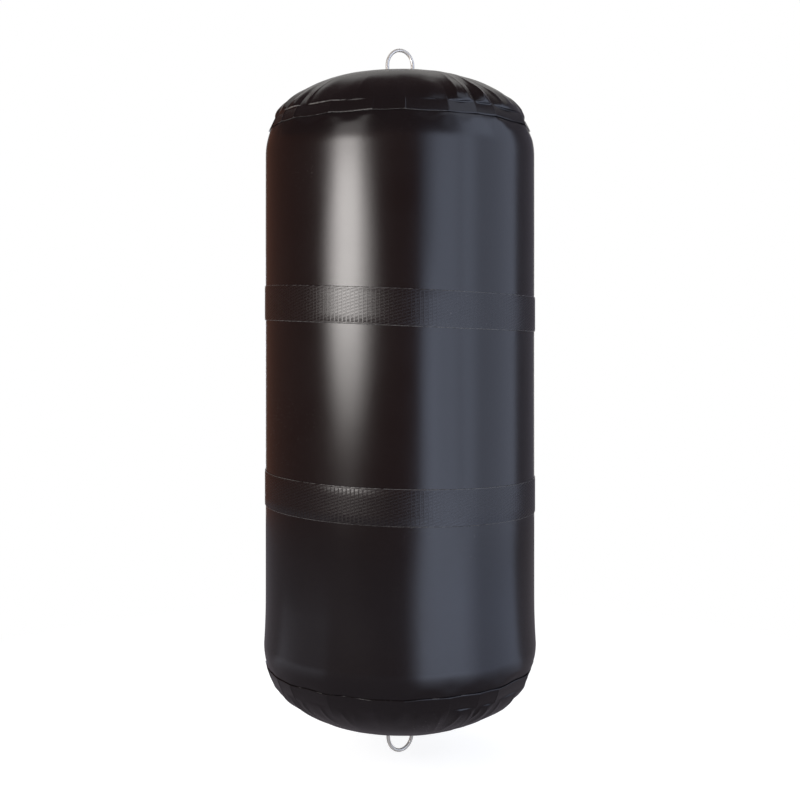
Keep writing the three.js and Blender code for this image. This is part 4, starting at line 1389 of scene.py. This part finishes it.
def floor_material():
    """Pale floor with half of the shadow near the object, white further out, and clear from below."""
    material = plain_material("pale_floor", grey(FLOOR_GREY), emission=FLOOR_GLOW)
    tree = material.node_tree
    place = tree.nodes.new("ShaderNodeTexCoord").outputs["Object"]
    away = add(tree, "ShaderNodeVectorMath", {"operation": "LENGTH"}, s0=place).outputs["Value"]
    far = ramp(tree, away, *FLOOR_FADE)
    light = tree.nodes.new("ShaderNodeEmission")
    mix = tree.nodes.new("ShaderNodeMixShader")
    tree.links.new(far, mix.inputs[0])
    tree.links.new(tree.nodes["Principled BSDF"].outputs[0], mix.inputs[1])
    tree.links.new(light.outputs[0], mix.inputs[2])
    one_sided = tree.nodes.new("ShaderNodeMixShader")
    tree.links.new(tree.nodes.new("ShaderNodeNewGeometry").outputs["Backfacing"], one_sided.inputs[0])
    tree.links.new(mix.outputs[0], one_sided.inputs[1])
    tree.links.new(tree.nodes.new("ShaderNodeBsdfTransparent").outputs[0], one_sided.inputs[2])
    tree.links.new(one_sided.outputs[0], tree.nodes["Material Output"].inputs["Surface"])
    return material


def disc_corners(radius, count=96):
    """Corners of a level disc about the axis, as x and y."""
    return [(radius * math.cos(a), radius * math.sin(a)) for a in np.arange(count) / count * 2 * math.pi]


def level_sheet(name, corners, level, material):
    """One level face through its corners, with its material."""
    mesh = bpy.data.meshes.new(name)
    mesh.from_pydata([(x, y, level) for x, y in corners], [], [list(range(len(corners)))])
    piece = link(mesh)
    piece.data.materials.append(material)
    return piece


floor_level = cad_box[0].z - FLOOR_DROP
level_sheet("floor", disc_corners(FLOOR_RADIUS), floor_level, floor_material())
print("floor at", round(floor_level, 3))

# %% [markdown]
# A glossy black object is lit by what it reflects. In an all white world it would look grey, so a studio
# stands dark cards round it: brown ones on the left, a cool grey one on the right, and a dark roof and
# floor. Paler patches on the roof and floor make the soft cool sheen on the fender's right side, where a
# patch that fades out towards the fender ends that sheen softly. Only reflections show the cards.

# %% Dark cards
CARD_RADIUS = 3.6
CARD_MIDDLE = 0.9
CARD_TOP = 2.2
CARD_STEPS = 23
CARD_GLOW = 1.0
CARD_BROWN = (0.085, 0.038, 0.026, 1.0)
CARD_DARK = (0.045, 0.026, 0.022, 1.0)
CARD_GREY = (0.08, 0.075, 0.09, 1.0)
CARD_PALE = (0.31, 0.30, 0.29, 1.0)
ROOF_DARK = (0.05, 0.035, 0.035, 1.0)
ROOF_COOL = (0.36, 0.38, 0.44, 1.0)
FLOOR_DARK = (0.105, 0.095, 0.105, 1.0)
FLOOR_LEFT = (0.30, 0.30, 0.34, 1.0)
FLOOR_COOL_EDGE = (0.36, 0.38, 0.45, 1.0)
FLOOR_COOL_FRONT = (0.88, 0.97, 1.18, 1.0)
FLOOR_COOL_MIDDLE = (0.67, 0.73, 0.91, 1.0)
FLOOR_COOL_SIDE = (0.45, 0.50, 0.63, 1.0)
PATCH_RISE = 0.004


def hide_from_camera(piece):
    piece.visible_camera = False
    piece.visible_diffuse = False
    piece.visible_shadow = False


def card(name, start, finish, low, high, colour):
    """Upright curved card between two bearings in degrees, 0 towards the camera and 90 to its right."""
    bearings = np.radians(np.linspace(start, finish, CARD_STEPS + 1))
    points = []
    for level in (low, high):
        points += [(CARD_RADIUS * math.sin(b), -CARD_RADIUS * math.cos(b), level) for b in bearings]
    above = CARD_STEPS + 1
    faces = [(i, i + 1, i + 1 + above, i + above) for i in range(CARD_STEPS)]
    mesh = bpy.data.meshes.new(name)
    mesh.from_pydata(points, [], faces)
    piece = link(mesh)
    piece.data.materials.append(plain_material(name, colour, emission=CARD_GLOW))
    hide_from_camera(piece)


def flat_card(name, corners, level, colour, fade=None):
    """Level card. It can fade out towards the fender's axis, between two radii."""
    material = plain_material(name, colour, emission=CARD_GLOW)
    if fade:
        tree = material.node_tree
        flat = add(tree, "ShaderNodeVectorMath", {"operation": "MULTIPLY"},
                   s0=tree.nodes.new("ShaderNodeTexCoord").outputs["Object"], s1=(1, 1, 0))
        away = add(tree, "ShaderNodeVectorMath", {"operation": "LENGTH"}, s0=flat.outputs[0]).outputs["Value"]
        faded = mix_colour(tree, ramp(tree, away, *fade), FLOOR_DARK, colour)
        for label in ("Base Color", "Emission Color"):
            tree.links.new(faded, tree.nodes["Principled BSDF"].inputs[label])
    hide_from_camera(level_sheet(name, corners, level, material))


card("left_card", -158, 16, floor_level, CARD_MIDDLE, CARD_BROWN)
card("high_left_card", -158, 16, CARD_MIDDLE, CARD_TOP, CARD_DARK)
card("right_card", 16, 158, floor_level, CARD_TOP, CARD_GREY)
card("back_card", 158, 202, floor_level, CARD_TOP, CARD_PALE)

roof_level = CARD_TOP - 0.01
flat_card("roof_card", disc_corners(CARD_RADIUS), CARD_TOP, ROOF_DARK)
flat_card("cool_roof_card", [(1.3, -2.4), (3.2, -1.4), (3.2, 0.2), (1.2, 0.0)], roof_level, ROOF_COOL)
flat_card("pale_roof_card", [(-3.2, 1.7), (3.2, 1.7), (2.4, 3.4), (-2.4, 3.4)], roof_level, CARD_PALE)

# Four cool cards lie side by side between these edges, so that the sheen grows and fades in small steps.
dark_level = floor_level + PATCH_RISE
patch_level = dark_level + PATCH_RISE
edges = [
    [(0.09, -0.61), (0.47, -3.37)],
    [(0.15, -0.60), (0.82, -3.30)],
    [(0.56, -0.44), (2.68, -2.09)],
    [(0.62, -0.36), (2.94, -1.70)],
    [(0.70, 0.20), (3.30, 0.90)],
]
cool_cards = (
    ("edge_floor_card", FLOOR_COOL_EDGE, (0.6, 1.35)),
    ("front_floor_card", FLOOR_COOL_FRONT, (0.6, 1.35)),
    ("middle_floor_card", FLOOR_COOL_MIDDLE, (0.6, 1.32)),
    ("side_floor_card", FLOOR_COOL_SIDE, (0.6, 1.3)),
)
flat_card("floor_card", disc_corners(CARD_RADIUS), dark_level, FLOOR_DARK)
for (name, colour, fade), before, after in zip(cool_cards, edges, edges[1:]):
    flat_card(name, before + after[::-1], patch_level, colour, fade)
flat_card("left_floor_card", [(-0.65, -0.45), (-1.45, -0.95), (-1.7, 0.5), (-0.75, 0.4)], patch_level,
          FLOOR_LEFT, fade=(0.7, 1.3))

# %% [markdown]
# On the left a narrow warm softbox gives the fender its bright upright highlight. One lamp would show as
# a hard-edged bar, so three of growing size stand behind each other, with a tall faint one above. On the
# right, broad cool lamps do the same for the sheen. The lamps at the back light the far side. A lamp over
# the fender brightens the domes without being mirrored in them.


# %% Lamps
def softbox(name, bearing, distance, height, width, tall, watts, colour, shape="RECTANGLE"):
    """Area lamp at a bearing and distance from the fender's axis, at a height, facing the axis."""
    lamp = bpy.data.lights.new(name, "AREA")
    lamp.shape = shape
    lamp.size = width
    lamp.size_y = tall
    lamp.energy = watts
    lamp.color = colour
    turn = math.radians(bearing)
    holder = bpy.data.objects.new(name, lamp)
    holder.location = (distance * math.sin(turn), -distance * math.cos(turn), height)
    holder.rotation_euler = (math.pi / 2, 0, turn)
    holder.visible_camera = False
    bpy.context.scene.collection.objects.link(holder)
    return holder


WARM = (1.0, 0.965, 0.94)
COOL = (0.67, 0.77, 1.0)
WHITE = (1.0, 1.0, 1.0)
STRIP_BEARING = -40.9
WINDOW_POWER = 2.4
WINDOW_HEIGHT = 2.0
softbox("strip_core", STRIP_BEARING, 2.36, -0.33, 0.78, 0.68, 11, WARM)
softbox("strip_middle", STRIP_BEARING, 2.38, -0.36, 1.40, 1.05, 20, WARM, "ELLIPSE")
softbox("strip_halo", STRIP_BEARING, 2.40, -0.36, 2.0, 1.35, 13.5, WARM, "ELLIPSE")
softbox("strip_glow", STRIP_BEARING, 2.42, 0.70, 1.1, 1.7, 8.5, WARM, "ELLIPSE")
windows = (
    ("wide_window_softbox", 39.5, 2.60, 2.15),
    ("window_softbox", 38, 2.58, 1.50),
    ("narrow_window_softbox", 36.5, 2.56, 0.87),
)
for name, bearing, distance, width in windows:
    watts = WINDOW_POWER * width * WINDOW_HEIGHT
    softbox(name, bearing, distance, -0.5, width, WINDOW_HEIGHT, watts, COOL)
softbox("low_window_softbox", 22, 2.5, -0.95, 0.5, 1.1, 2.2, COOL)
softbox("high_window_softbox", 62, 2.6, 1.3, 2.0, 1.6, 7, COOL)
softbox("side_softbox", 80, 2.6, 0.0, 2.8, 3.0, 34, COOL)
softbox("back_softbox", 170, 2.8, -0.85, 0.5, 1.1, 7, WARM)
softbox("second_back_softbox", 194, 2.8, -0.85, 0.3, 1.1, 4, COOL)

overhead = softbox("overhead_softbox", 0, 0, 2.1, 3.0, 3.0, 22, WHITE)
overhead.rotation_euler = (0, 0, 0)
overhead.visible_glossy = False
print("lamps:", len(bpy.data.lights))

# %% [markdown]
# The box of the imported model is printed. The size of what is seen may not leave the imported
# model's box.

# %% Size
print("box of the packed model:", [[round(v, 4) for v in corner] for corner in cad_box])
